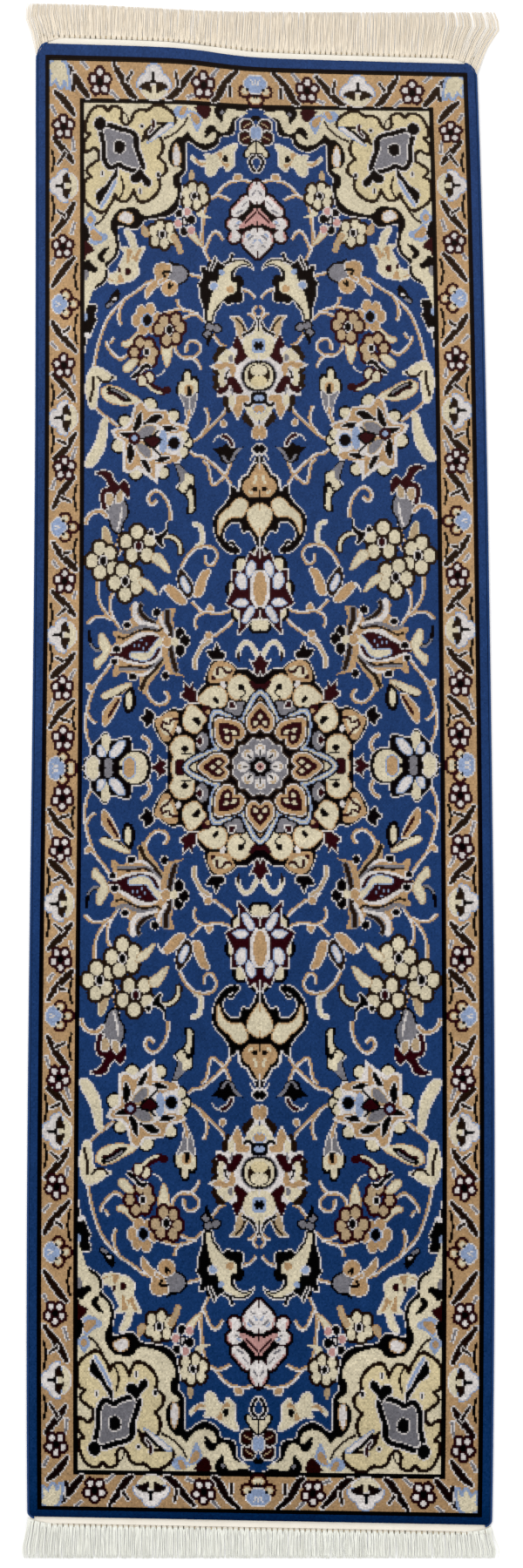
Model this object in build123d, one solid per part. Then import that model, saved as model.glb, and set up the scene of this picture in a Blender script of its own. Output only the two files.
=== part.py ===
from build123d import *
from math import exp, pi, sin, tanh
import os

# Hand-knotted runner rug, in millimetres. X runs across it, Y along it, Z up.
# The origin is the middle of the medallion, on the underside.

# Pile area, before the cloth settles
pile_width = 604.0
pile_length = 1955.0
corner_radius_top = 9.0
corner_radius_bottom = 7.0

# Thicknesses
ground_thickness = 2.5
pile_height = 5.5
selvedge_height = 4.5
kilim_thickness = 2.0
twining_height = 3.0
fringe_thickness = 2.5

# Stripes of the design, from the pile's edge inwards
edge_band_side = 10.8
edge_band_end = 11.5
guard_stripe = 4.6
border_side = 43.7
border_end = 46.0

# Selvedges: a cotton core along each long side, overcast with wool
selvedge_width = 4.0
core_width = 2.0
selvedge_stop = 12.0  # short of the pile's corners

# Ends: woven band, row of twining, fringe
kilim_width = 9.0
twining_width = 2.5
reach_top_left = 77.0  # from the pile's end to the cut ends of the strands
reach_top_right = 64.0
reach_bottom = 49.0
spread_top_left = 11.0  # how far the outer strands lie beyond the side
spread_top_right = 30.0
spread_bottom_left = 7.0
spread_bottom_right = 8.0
strand_profile = [(0.45, 0.5), (0.75, 1.0), (1.0, 0.75)]  # share of length, share of spread

# How the cloth lies on the floor
bow_even = 5.1
bow_odd = 2.4
narrow_even = 2.3
narrow_ends = 2.6
narrow_wave = 1.45
skew_middle = 2.5
skew_rise = 9.0
skew_fall = 10.5
skew_ends = 9.5
pull_mean = 3.2
pull_side = 6.3
pull_centre = -55.0
pull_width = 50.0
pull_depth = 90.0
lean = -2.0
rise_middle = 3.0
rise_spread = 0.4
slip_ends = 6.0
slip_power = 14

# Corner piece of the quarter on +X +Y: start, middle and end of each scallop,
# as shares of the field's half sizes
corner_scallops = [
    ((0.042, 1.000), (0.096, 0.986), (0.126, 0.964)),
    ((0.126, 0.964), (0.285, 0.935), (0.394, 0.949)),
    ((0.394, 0.949), (0.386, 0.917), (0.432, 0.887)),
    ((0.432, 0.887), (0.418, 0.863), (0.453, 0.839)),
    ((0.453, 0.839), (0.562, 0.822), (0.663, 0.821)),
    ((0.663, 0.821), (0.726, 0.811), (0.801, 0.815)),
    ((0.801, 0.815), (0.786, 0.785), (0.839, 0.760)),
    ((0.839, 0.760), (0.871, 0.748), (0.860, 0.733)),
    ((0.860, 0.733), (0.923, 0.716), (1.000, 0.703)),
]

# Medallion of the same quarter, millimetres from its middle
medallion_lobes = [
    ((0.0, 122.0), (15.0, 131.0), (30.0, 131.0)),
    ((30.0, 131.0), (60.0, 138.0), (70.0, 109.0)),
    ((70.0, 109.0), (82.0, 97.0), (79.0, 83.0)),
    ((79.0, 83.0), (92.0, 82.0), (102.0, 74.0)),
    ((102.0, 74.0), (133.0, 60.0), (126.0, 32.0)),
    ((126.0, 32.0), (121.0, 16.0), (121.0, 0.0)),
]

half_width = pile_width / 2
half_length = pile_length / 2
pile_top = ground_thickness + pile_height
twining_start = kilim_width
fringe_start = kilim_width + twining_width

# Lines across and along that the stripes meet on
guard_side = half_width - edge_band_side
border_line_side = guard_side - guard_stripe
inner_guard_side = border_line_side - border_side
field_side = inner_guard_side - guard_stripe
guard_end = half_length - edge_band_end
border_line_end = guard_end - guard_stripe
inner_guard_end = border_line_end - border_end
field_end = inner_guard_end - guard_stripe

# Where the corner pieces start on the field's end line and finish on its side line
corner_start = corner_scallops[0][0][0] * field_side
corner_finish = corner_scallops[-1][2][1] * field_end

# Where the medallion meets the line between the field's halves
medallion_side = medallion_lobes[-1][2][0]

# Places where every long edge has a corner, so that neighbours share them
side_lines = [guard_side, border_line_side, inner_guard_side, field_side, corner_start, medallion_side]
selvedge_end = half_length - selvedge_stop
end_lines = [guard_end, border_line_end, inner_guard_end, field_end, corner_finish, selvedge_end]
x_steps = [half_width * k / 5 for k in range(-4, 5)]
y_steps = [half_length * k / 16 for k in range(-15, 16)]
x_marks = sorted(x_steps + side_lines + [-x for x in side_lines])
y_marks = sorted(y_steps + end_lines + [-y for y in end_lines])


def pull_of_the_ends(x, y):
    """How far a point has moved along the rug, from its far end's pull and the slack near both ends."""
    t = y / half_length
    pull = pull_mean - pull_side * tanh((x - pull_centre) / pull_width)
    reach = exp(min(0.0, y - half_length) / pull_depth)
    peak = slip_power / (slip_power + 1)
    slack = abs(t) ** slip_power * max(0.0, 1 - abs(t)) / (peak**slip_power * (1 - peak))
    rise = rise_middle * exp(-((t / rise_spread) ** 2))
    return pull * reach + rise - slip_ends * slack


def settle(x, y):
    """Place of a woven point once the cloth lies on the floor."""
    t = y / half_length
    u = x / half_width
    bow = lean * (1 - u**2) - bow_even * t**2 - bow_odd * t**3
    narrow = -narrow_even * t**2 - narrow_ends * t**4 - narrow_wave * sin(pi * t)
    skew = skew_middle + skew_rise * t - skew_fall * t**3 - skew_ends * t**6
    return (x + bow + narrow * u, y + skew * u + pull_of_the_ends(x, y))


def steps_between(start, end, marks):
    """Stations from start to end, with the marks that lie between them."""
    low, high = min(start, end), max(start, end)
    inner = [m for m in marks if low + 0.01 < m < high - 0.01]
    row = [low] + inner + [high]
    return row if start <= end else row[::-1]


def along_x(x0, x1, y):
    return [settle(x, y) for x in steps_between(x0, x1, x_marks)]


def along_y(x, y0, y1):
    return [settle(x, y) for y in steps_between(y0, y1, y_marks)]


def woven_outline(x0, x1, y0, y1):
    """Corners of a woven rectangle after settling, counter-clockwise."""
    bottom = along_x(x0, x1, y0)
    right = along_y(x1, y0, y1)
    top = along_x(x1, x0, y1)
    left = along_y(x0, y1, y0)
    return bottom[:-1] + right[:-1] + top[:-1] + left[:-1]


def slab(points, z0, z1):
    """Closed solid from an outline, between two heights."""
    wire = Wire.make_polygon([Vector(x, y, z0) for x, y in points], close=True)
    return extrude(Face(wire), amount=z1 - z0, dir=(0, 0, 1))


def woven_slab(x0, x1, y0, y1, z0, z1):
    return slab(woven_outline(x0, x1, y0, y1), z0, z1)


def round_corners(solid, end_sign):
    """Rounds the upright outer corners of a slab at one end of the pile."""
    spots = [Vector(*settle(side * half_width, end_sign * half_length), 0) for side in (-1, 1)]
    corners = []
    for edge in solid.edges().filter_by(Axis.Z):
        middle = edge.position_at(0.5)
        if any(abs(middle.X - s.X) < 0.1 and abs(middle.Y - s.Y) < 0.1 for s in spots):
            corners.append(edge)
    return fillet(corners, radius=corner_radius_top if end_sign > 0 else corner_radius_bottom)


def ground_weave():
    sheet = woven_slab(-half_width, half_width, -half_length, half_length, 0, ground_thickness)
    return round_corners(round_corners(sheet, 1), -1)


def pile_slab(x0, x1, y0, y1):
    return woven_slab(x0, x1, y0, y1, ground_thickness, pile_top)


def stripe_side(sign, inner, outer, end):
    """Stripe of pile along one long side, between two lines of the design."""
    x0, x1 = sorted((sign * inner, sign * outer))
    return pile_slab(x0, x1, -end, end)


def stripe_end(sign, inner, outer, side):
    """Stripe of pile across one end, over the full width of its frame."""
    y0, y1 = sorted((sign * inner, sign * outer))
    return pile_slab(-side, side, y0, y1)


def edge_band_across(sign):
    return round_corners(stripe_end(sign, guard_end, half_length, half_width), sign)


def frame_stripes(inner_side, outer_side, inner_end, outer_end):
    """The four stripes of one frame: two long ones between two end ones."""
    sides = [stripe_side(s, inner_side, outer_side, inner_end) for s in (-1, 1)]
    ends = [stripe_end(s, inner_end, outer_end, outer_side) for s in (-1, 1)]
    return sides + ends


def scallop_edges(scallops, z):
    edges = []
    for start, middle, end in scallops:
        spots = [Vector(*settle(x, y), z) for x, y in (start, middle, end)]
        edges.append(Edge.make_three_point_arc(*spots))
    return edges


def mirrored(scallops, sx, sy):
    return [tuple((sx * x, sy * y) for x, y in arc) for arc in scallops]


def corner_piece(sx, sy):
    """Scalloped corner of the field: pile between the scallops and the field's edge."""
    full = [tuple((x * field_side, y * field_end) for x, y in arc) for arc in corner_scallops]
    arcs = mirrored(full, sx, sy)
    z = ground_thickness
    edges = scallop_edges(arcs, z)
    side_run = along_y(sx * field_side, sy * corner_finish, sy * field_end)
    end_run = along_x(sx * field_side, sx * corner_start, sy * field_end)
    run = side_run + end_run[1:]
    for a, b in zip(run, run[1:]):
        edges.append(Edge.make_line(Vector(*a, z), Vector(*b, z)))
    face = Face(Wire(edges))
    return extrude(face, amount=pile_height, dir=(0, 0, 1))


def medallion_piece():
    """Lobed medallion, its quarter repeated by mirroring."""
    z = ground_thickness
    edges = []
    for sx, sy in ((1, 1), (1, -1), (-1, -1), (-1, 1)):
        edges += scallop_edges(mirrored(medallion_lobes, sx, sy), z)
    return extrude(Face(Wire(edges)), amount=pile_height, dir=(0, 0, 1))


def field_half(sign, corners, medallion):
    """Half of the field's pile, from the middle line to one end, around the corners and the medallion."""
    y0, y1 = sorted((0.0, sign * field_end))
    half = pile_slab(-field_side, field_side, y0, y1)
    for piece in corners:
        half = half - piece
    return half - medallion


def selvedge(sign):
    """Core and wool wrap along one long side; the wrap closes round the core."""
    x0, x1 = sorted((sign * half_width, sign * (half_width + selvedge_width)))
    wall = (selvedge_width - core_width) / 2
    wrap = woven_slab(x0, x1, -selvedge_end, selvedge_end, 0, selvedge_height)
    lift = (selvedge_height - core_width) / 2
    inner_x = (x0 + wall, x1 - wall)
    core = woven_slab(*inner_x, -selvedge_end, selvedge_end, lift, lift + core_width)
    return core, wrap - core


def end_strip(sign, near, far, height):
    """Strip beyond one end of the pile, between two distances from it."""
    y0, y1 = sorted((sign * (half_length + near), sign * (half_length + far)))
    return woven_slab(-half_width, half_width, y0, y1, 0, height)


def fringe_side(root, sign_x, sign_y, tip, spread):
    """Outline of the outermost strands at one corner, from the twining to the cut ends."""
    spots = []
    for length_share, spread_share in strand_profile:
        y = root[1] + (sign_y * tip - root[1]) * length_share
        spots.append((root[0] + sign_x * spread * spread_share, y))
    return spots


def fringe(sign, reach_left, reach_right, spread_left, spread_right):
    """Loose warp ends beyond the twining, as one flat mat with a straight cut."""
    inner = along_x(-half_width, half_width, sign * (half_length + fringe_start))
    right = fringe_side(inner[-1], 1, sign, half_length + reach_right, spread_right)
    left = fringe_side(inner[0], -1, sign, half_length + reach_left, spread_left)
    return slab(inner + right + left[::-1], 0, fringe_thickness)


def save(name, *solids):
    shape = solids[0] if len(solids) == 1 else Compound(children=list(solids))
    shape.label = name
    export_step(shape, os.path.join("parts", name + ".step"))


def save_ground():
    save("ground_weave", ground_weave())


def save_frames():
    save("pile_band_left", stripe_side(-1, guard_side, half_width, guard_end))
    save("pile_band_right", stripe_side(1, guard_side, half_width, guard_end))
    save("pile_band_top", edge_band_across(1))
    save("pile_band_bottom", edge_band_across(-1))
    save("pile_outer_guard", *frame_stripes(border_line_side, guard_side, border_line_end, guard_end))
    border = frame_stripes(inner_guard_side, border_line_side, inner_guard_end, border_line_end)
    for name, solid in zip(("left", "right", "bottom", "top"), border):
        save("pile_border_" + name, solid)
    save("pile_inner_guard", *frame_stripes(field_side, inner_guard_side, field_end, inner_guard_end))


def save_field():
    quarters = {"top_right": (1, 1), "top_left": (-1, 1), "bottom_left": (-1, -1), "bottom_right": (1, -1)}
    corners = {name: corner_piece(*signs) for name, signs in quarters.items()}
    medallion = medallion_piece()
    for name, solid in corners.items():
        save("pile_corner_" + name, solid)
    save("pile_medallion", medallion)
    for name, sign in (("upper", 1), ("lower", -1)):
        near = [corners[key] for key, signs in quarters.items() if signs[1] == sign]
        save("pile_field_" + name, field_half(sign, near, medallion))


def save_edges():
    for name, sign in (("left", -1), ("right", 1)):
        core, wrap = selvedge(sign)
        save("selvedge_core_" + name, core)
        save("selvedge_wrap_" + name, wrap)


def save_ends():
    ends = (
        ("top", 1, reach_top_left, reach_top_right, spread_top_left, spread_top_right),
        ("bottom", -1, reach_bottom, reach_bottom, spread_bottom_left, spread_bottom_right),
    )
    for name, sign, *fringe_sizes in ends:
        save("kilim_band_" + name, end_strip(sign, 0, twining_start, kilim_thickness))
        save("twining_row_" + name, end_strip(sign, twining_start, fringe_start, twining_height))
        save("fringe_" + name, fringe(sign, *fringe_sizes))


os.makedirs("parts", exist_ok=True)
save_ground()
save_frames()
save_field()
save_edges()
save_ends()
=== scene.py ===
import bpy
import math
import numpy as np
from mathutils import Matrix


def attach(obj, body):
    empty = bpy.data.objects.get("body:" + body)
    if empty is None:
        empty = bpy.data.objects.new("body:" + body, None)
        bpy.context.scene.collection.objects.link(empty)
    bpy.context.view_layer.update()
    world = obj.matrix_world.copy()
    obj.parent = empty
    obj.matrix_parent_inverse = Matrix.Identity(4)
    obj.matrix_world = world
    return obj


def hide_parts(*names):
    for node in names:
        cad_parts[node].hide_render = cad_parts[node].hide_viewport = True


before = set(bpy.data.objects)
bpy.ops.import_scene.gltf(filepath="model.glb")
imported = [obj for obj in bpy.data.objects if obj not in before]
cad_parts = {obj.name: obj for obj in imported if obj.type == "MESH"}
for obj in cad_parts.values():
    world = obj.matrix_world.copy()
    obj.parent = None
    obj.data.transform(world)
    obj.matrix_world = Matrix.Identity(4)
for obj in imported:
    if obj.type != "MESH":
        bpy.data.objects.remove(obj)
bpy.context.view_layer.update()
mm = 0.001
rng = np.random.default_rng(7)

# design of the rug in millimetres, before the cloth settles
rug = {
    "width": 604.0,
    "length": 1955.0,
    "columns": 301,  # knots across
    "rows": 977,  # knots along
    "cornerTop": 16.0,
    "cornerBottom": 7.0,
    "groundTop": 2.5,
    "pileTop": 8.0,
    "bandSide": 10.8,
    "bandEnd": 11.5,
    "guard": 4.6,
    "borderSide": 43.7,
    "borderEnd": 46.0,
}
halfWidth = rug["width"] / 2
halfLength = rug["length"] / 2
knotX = rug["width"] / rug["columns"]
knotY = rug["length"] / rug["rows"]
guardSide = halfWidth - rug["bandSide"]
borderLineSide = guardSide - rug["guard"]
innerGuardSide = borderLineSide - rug["borderSide"]
fieldSide = innerGuardSide - rug["guard"]
guardEnd = halfLength - rug["bandEnd"]
borderLineEnd = guardEnd - rug["guard"]
innerGuardEnd = borderLineEnd - rug["borderEnd"]
fieldEnd = innerGuardEnd - rug["guard"]

# how the cloth lies on the floor
lay = {
    "bowEven": 5.1, "bowOdd": 2.4, "narrowEven": 2.3, "narrowEnds": 2.6, "narrowWave": 1.45,
    "skewMiddle": 2.5, "skewRise": 9.0, "skewFall": 10.5, "skewEnds": 9.5,
    "pullMean": 3.2, "pullSide": 6.3, "pullCentre": -55.0, "pullWidth": 50.0, "pullDepth": 90.0,
    "lean": -2.0, "riseMiddle": 3.0, "riseSpread": 0.4, "slipEnds": 6.0, "slipPower": 14,
}


def slackAt(t):
    # loose cloth just short of both ends, 1 at its most
    peak = lay["slipPower"] / (lay["slipPower"] + 1)
    most = peak ** lay["slipPower"] * (1 - peak)
    return np.abs(t) ** lay["slipPower"] * np.maximum(0.0, 1 - np.abs(t)) / most


def riseAt(t):
    return lay["riseMiddle"] * np.exp(-((t / lay["riseSpread"]) ** 2))


def settle(x, y):
    # place of a woven point once the cloth lies on the floor, in millimetres
    t = y / halfLength
    u = x / halfWidth
    bow = lay["lean"] * (1 - u**2) - lay["bowEven"] * t**2 - lay["bowOdd"] * t**3
    narrow = -lay["narrowEven"] * t**2 - lay["narrowEnds"] * t**4 - lay["narrowWave"] * np.sin(np.pi * t)
    skew = lay["skewMiddle"] + lay["skewRise"] * t - lay["skewFall"] * t**3 - lay["skewEnds"] * t**6
    pull = lay["pullMean"] - lay["pullSide"] * np.tanh((x - lay["pullCentre"]) / lay["pullWidth"])
    reach = np.exp(np.minimum(0.0, y - halfLength) / lay["pullDepth"])
    along = pull * reach + riseAt(t) - lay["slipEnds"] * slackAt(t)
    return x + bow + narrow * u, y + skew * u + along


# yarns of the pile, as seen in daylight
yarns = {
    "blue": (0.0112, 0.0318, 0.1040),
    "black": (0.0022, 0.0012, 0.0014),
    "camel": (0.325, 0.205, 0.104),
    "cream": (0.460, 0.410, 0.295),
    "butter": (0.450, 0.380, 0.228),
    "white": (0.480, 0.450, 0.435),
    "maroon": (0.0190, 0.0025, 0.0038),
    "brown": (0.0130, 0.0065, 0.0035),
    "sky": (0.195, 0.250, 0.375),
    "grey": (0.140, 0.135, 0.150),
    "pink": (0.370, 0.200, 0.185),
    "tan": (0.320, 0.235, 0.140),
}
yarnNames = list(yarns)
darkYarns = {"black", "brown", "maroon"}
outlineReach = {"pale": -0.4, "dark": 0.2}  # mm past a whole number of knots
darkInset = 0.5  # mm that a dark outline takes from the shape inside it


class KnotPlan:
    # one quarter of the rug's design as rows of knots; the other quarters mirror it
    margin = 12  # knots kept past both middle lines

    def __init__(self):
        self.xs = (np.arange(rug["columns"] // 2 + 1 + self.margin) - self.margin) * knotX
        self.ys = (np.arange(rug["rows"] // 2 + 1 + self.margin) - self.margin) * knotY
        self.knots = np.zeros((len(self.ys), len(self.xs)), np.uint8)

    def onCloth(self, points):
        # the motifs are drawn on the lying rug; this takes them back to the even design
        p = np.array(points, float)
        t = p[:, 1] / halfLength
        across = 2.6 * np.clip((298 - p[:, 0]) / 58, 0, 1)
        return np.stack([p[:, 0] + across, p[:, 1] + riseAt(t) - lay["slipEnds"] * slackAt(t)], 1)

    def curve(self, points, closed):
        # smooth line through the points
        p = np.array(points, float)
        if len(p) < 3:
            return p
        before = np.roll(p, 1, axis=0)
        after = np.roll(p, -1, axis=0)
        later = np.roll(p, -2, axis=0)
        if not closed:
            before[0] = p[0]
            later[-2] = p[-1]
            last = p[-1:]
            before, p, after, later = before[:-1], p[:-1], after[:-1], later[:-1]
        t = (np.arange(6) / 6)[None, :, None]
        a, b, c, d = (q[:, None, :] for q in (before, p, after, later))
        bend = 2 * b + (c - a) * t + (2 * a - 5 * b + 4 * c - d) * t**2 + (3 * b - a - 3 * c + d) * t**3
        line = (0.5 * bend).reshape(-1, 2)
        return line if closed else np.vstack([line, last])

    def distance(self, line, closed, reach):
        # how far each nearby knot is from the line, and whether it is inside
        low, high = line.min(0) - reach, line.max(0) + reach
        i0, i1 = np.searchsorted(self.xs, [low[0], high[0]])
        j0, j1 = np.searchsorted(self.ys, [low[1], high[1]])
        gx, gy = np.meshgrid(self.xs[i0:i1], self.ys[j0:j1])
        a, b = line, np.roll(line, -1, axis=0)
        if not closed:
            a, b = a[:-1], b[:-1]
        run = b - a
        size = (run**2).sum(1) + 1e-9
        rx, ry = gx[..., None] - a[:, 0], gy[..., None] - a[:, 1]
        t = np.clip((rx * run[:, 0] + ry * run[:, 1]) / size, 0, 1)
        d = np.sqrt((rx - t * run[:, 0]) ** 2 + (ry - t * run[:, 1]) ** 2).min(-1)
        if closed:
            crosses = (a[:, 1] > gy[..., None]) != (b[:, 1] > gy[..., None])
            rise = np.where(run[:, 1] == 0, 1e-9, run[:, 1])
            where = a[:, 0] + ry * run[:, 0] / rise
            inside = (crosses & (gx[..., None] < where)).sum(-1) % 2 == 1
            d = np.where(inside, -d - 0.01, d)
        return d, (slice(j0, j1), slice(i0, i1))

    def fill(self, d, place, yarn, rings):
        area = self.knots[place]
        for k in range(len(rings), 0, -1):
            reach = outlineReach["dark" if darkYarns & set(rings[:k]) else "pale"]
            area[d < k * knotX + reach] = yarnNames.index(rings[k - 1])
        inset = darkInset if rings and rings[0] in darkYarns else 0.0
        area[d < -inset] = yarnNames.index(yarn)

    def leaf(self, points, yarn, *rings, sharp=False):
        # a filled shape in outlines about one knot wide, the innermost first
        points = self.onCloth(points)
        line = points if sharp else self.curve(points, True)
        d, place = self.distance(line, True, knotX * len(rings) + 2)
        self.fill(d, place, yarn, rings)

    def vine(self, points, yarn, width, *rings):
        line = self.curve(self.onCloth(points), False)
        d, place = self.distance(line, False, width / 2 + knotX * len(rings) + 2)
        self.fill(d - width / 2, place, yarn, rings)

    def blade(self, points, yarn, width, *rings):
        # a long leaf: widest in the middle, its edges a little toothed
        line = self.curve(self.onCloth(points), False)
        step = np.gradient(line, axis=0)
        across = np.stack([-step[:, 1], step[:, 0]], 1) / (np.hypot(step[:, 0], step[:, 1])[:, None] + 1e-9)
        share = np.linspace(0, 1, len(line))
        half = width / 2 * (0.35 + 0.65 * np.sin(np.pi * share)) + 0.7 * (np.arange(len(line)) % 2)
        outline = np.vstack([line + across * half[:, None], (line - across * half[:, None])[::-1]])
        d, place = self.distance(outline, True, knotX * len(rings) + 2)
        self.fill(d, place, yarn, rings)

    def tendril(self, points, side=1, width=2.6):
        # a thin stem: white along one side, camel along the other
        line = self.curve(self.onCloth(points), False)
        step = np.gradient(line, axis=0)
        size = np.hypot(step[:, 0], step[:, 1])[:, None] + 1e-9
        across = np.stack([step[:, 1], -step[:, 0]], 1) / size * side * width * 0.42
        for shifted, yarn in ((line - across, "white"), (line + across, "camel")):
            d, place = self.distance(shifted, False, width / 2 + 2)
            self.fill(d - width / 2, place, yarn, ())

    def dot(self, x, y, r, yarn, *rings, ry=None):
        ry = ry or r
        turn = np.arange(12) * math.pi / 6
        self.leaf([(x + r * math.cos(a), y + ry * math.sin(a)) for a in turn], yarn, *rings)

    def region(self, yarn, x0, x1, y0, y1):
        rows = (self.ys >= y0) & (self.ys < y1)
        columns = (self.xs >= x0) & (self.xs < x1)
        self.knots[np.ix_(rows, columns)] = yarnNames.index(yarn)

    def whole(self):
        # the full rug, row by row from the bottom left
        quarter = self.knots[self.margin:, self.margin:]
        half = np.concatenate([quarter[:, :0:-1], quarter], 1)
        return np.concatenate([half[:0:-1], half], 0)


def paintPetals(plan, x, y, spots, rx, ry, yarn, *rings):
    for dx, dy in spots:
        plan.dot(x + dx, y + dy, rx, yarn, *rings, ry=ry)
    for dx, dy in spots:
        plan.dot(x + dx, y + dy, rx, yarn, ry=ry)


def paintCreamRosette(plan, x, y, spots, centre, rx=8, ry=9.5):
    paintPetals(plan, x, y, spots, rx, ry, "cream", "brown", "brown")
    plan.dot(x, y, 4.5, centre, "white", ry=6)

# vines
def paintFieldVines(plan):
    plan.tendril([(195, 143), (205, 127), (214, 116), (220, 105), (225, 92), (229, 75), (231, 60),
        (229, 40), (222, 24)])
    plan.tendril([(228, 70), (224, 63), (218, 58)])
    plan.leaf([(217, 113), (222, 109), (229, 111), (228, 104), (221, 103)], "camel", "white")
    plan.tendril([(194, 237), (199, 225), (198, 208), (192, 196), (184, 183)], -1, 2.6)
    plan.tendril([(216, 252), (216, 235), (212, 220), (206, 210), (201, 203), (192, 197)], -1, 2.6)
    plan.tendril([(198, 199), (208, 203), (220, 202), (229, 194)], -1)
    plan.tendril([(183, 332), (185, 318), (189, 305), (195, 297)], -1)
    plan.tendril([(184, 296), (189, 288)], -1)
    plan.tendril([(152, 660), (165, 650), (180, 640), (192, 628), (203, 614), (210, 598), (216, 580),
        (220, 562), (223, 545)])
    plan.tendril([(181, 640), (187, 625), (188, 613), (185, 605)])
    plan.tendril([(170, 572), (178, 562), (187, 558), (196, 565), (203, 574), (205, 581)])
    plan.tendril([(195, 587), (200, 580)])
    plan.tendril([(224, 500), (217, 488), (207, 479), (197, 472), (190, 465)])
    plan.tendril([(2, 801), (10, 807), (22, 808), (35, 805), (45, 797), (53, 787), (62, 780), (67, 772),
        (71, 757), (72, 742), (74, 727), (72, 713), (67, 700), (62, 690)])
    plan.tendril([(35, 779), (44, 784), (53, 785), (60, 781)])
    plan.tendril([(45, 722), (49, 730), (56, 733), (62, 726), (66, 716), (69, 708)])
    plan.leaf([(60, 753), (68, 758), (80, 770), (84, 764), (74, 753)], "cream")
    plan.leaf([(72, 713), (78, 722), (86, 735), (91, 729), (82, 718)], "cream", "camel")
    plan.leaf([(18, 810), (20, 817), (27, 816), (28, 809)], "camel", "white")
    plan.tendril([(72, 608), (80, 617), (90, 622), (105, 625), (120, 622), (132, 617)])
    plan.tendril([(80, 618), (90, 617), (101, 612)])
    plan.tendril([(100, 624), (106, 631), (108, 639)])
    plan.tendril([(76, 542), (80, 551), (88, 558), (99, 558), (108, 564), (112, 574)], -1)
    plan.tendril([(88, 558), (80, 563), (76, 571), (81, 579), (90, 581), (95, 575), (96, 567)])
    plan.tendril([(60, 590), (55, 583), (50, 576), (43, 573)])
    plan.tendril([(35, 415), (39, 404), (44, 394), (54, 385), (61, 382), (64, 392), (67, 408), (73, 415)])
    plan.tendril([(45, 395), (54, 405), (64, 414), (74, 421), (84, 423), (91, 428)])
    plan.tendril([(44, 394), (38, 385), (35, 378)])
    plan.tendril([(41, 490), (46, 480), (56, 469), (66, 460), (76, 450), (86, 443)])
    plan.tendril([(70, 488), (66, 475), (68, 463), (75, 453)])
    plan.dot(46, 466, 3.5, "camel", "white", ry=4)
    plan.tendril([(118, 334), (118, 346), (122, 360), (130, 371), (138, 375), (146, 370), (148, 362),
        (143, 356), (137, 361)])
    plan.vine([(85, 328), (78, 325), (75, 313), (75, 303), (82, 297)], "cream", 4.5, "white")
    plan.tendril([(71, 284), (70, 275), (63, 271), (57, 277), (55, 287), (61, 295), (72, 297),
        (84, 294), (94, 285), (100, 275), (103, 268)], -1, 2.6)
    plan.tendril([(31, 200), (38, 190), (48, 182), (58, 175), (70, 170), (76, 164)])
    plan.vine([(64, 168), (74, 161), (81, 150), (85, 140), (84, 131)], "tan", 4.0, "white")
    plan.dot(66, 175, 4.5, "camel", "white", ry=5)
    plan.tendril([(36, 210), (45, 206), (58, 205), (68, 207), (76, 208), (82, 214), (88, 221)])
    plan.leaf([(60, 209), (61, 215), (66, 216), (68, 209)], "camel", "white")
    plan.tendril([(74, 206), (82, 201), (85, 192), (82, 185)])
    plan.vine([(2, 148), (7, 158), (15, 165), (22, 161), (26, 153), (27, 147)], "cream", 4.0, "white")
    plan.leaf([(24, 151), (29, 149), (27, 141), (24, 140)], "brown")
    plan.tendril([(124, 99), (120, 91), (124, 84), (133, 82), (142, 87), (149, 98), (151, 110)], 1, 3.0)
    plan.vine([(154, 38), (147, 33), (144, 25), (148, 16), (154, 11)], "camel", 3.0, "white")
    plan.tendril([(190, 466), (196, 470), (200, 476)])
    plan.tendril([(70, 669), (80, 671), (94, 674)])
    plan.tendril([(152, 661), (140, 666), (130, 668)])
    plan.tendril([(2, 640), (8, 647), (16, 651), (22, 652)])
    plan.tendril([(0, 628), (4, 622), (2, 612), (6, 616), (11, 617)])


def paintCreamRosettes(plan):
    plan.leaf([(198, 302), (200, 315), (207, 326), (210, 318), (208, 303)], "tan", "cream")
    paintCreamRosette(plan, 161, 299, [(2, 20), (17, 7), (9, -12), (-11, -12), (-15, 9)], "maroon")
    paintCreamRosette(plan, 209, 280, [(-9, 10), (5, 17), (15, 0), (4, -16), (-13, -11)], "black")
    paintCreamRosette(plan, 179, 251, [(-13, 9), (4, 15), (14, -2), (0, -18), (-15, -8)], "black")
    plan.leaf([(119, 262), (124, 276), (132, 287), (140, 288), (143, 280), (133, 272)], "cream", "tan")
    plan.leaf([(137, 232), (142, 243), (150, 252), (160, 256), (158, 247), (148, 240)], "cream", "tan")
    six = [(-10, 9), (3, 12), (12, 5), (10, -9), (-3, -12), (-13, -4)]
    for x, y in ((83, 785), (128, 730)):
        paintPetals(plan, x, y, six, 5.5, 7.5, "cream", "brown", "brown")
        plan.dot(x, y, 3.5, "black", "white", ry=5)
    plan.leaf([(82, 812), (84, 820), (88, 822), (91, 815), (90, 808)], "tan")
    plan.leaf([(101, 705), (104, 717), (110, 728), (115, 727), (109, 715), (105, 704)], "tan", "camel")
    plan.leaf([(146, 731), (150, 738), (155, 742), (155, 733), (150, 728)], "tan", "camel")


def paintPinkFlower(plan):
    for x, y in ((93, 762), (106, 745), (88, 736)):
        plan.dot(x, y, 4.5, "pink", "white", ry=5.5)
    plan.dot(88, 751, 6, "black", "white", ry=6)
    plan.dot(105, 760, 5, "black", "white", ry=6)
    plan.dot(98, 734, 5, "black", "white", ry=6)
    plan.leaf([(95, 745), (96, 752), (99, 752), (99, 745)], "white", "black")
    for x, y in ((93, 762), (106, 745), (88, 736)):
        plan.dot(x, y, 4.5, "pink", "white", ry=5.5)


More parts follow.
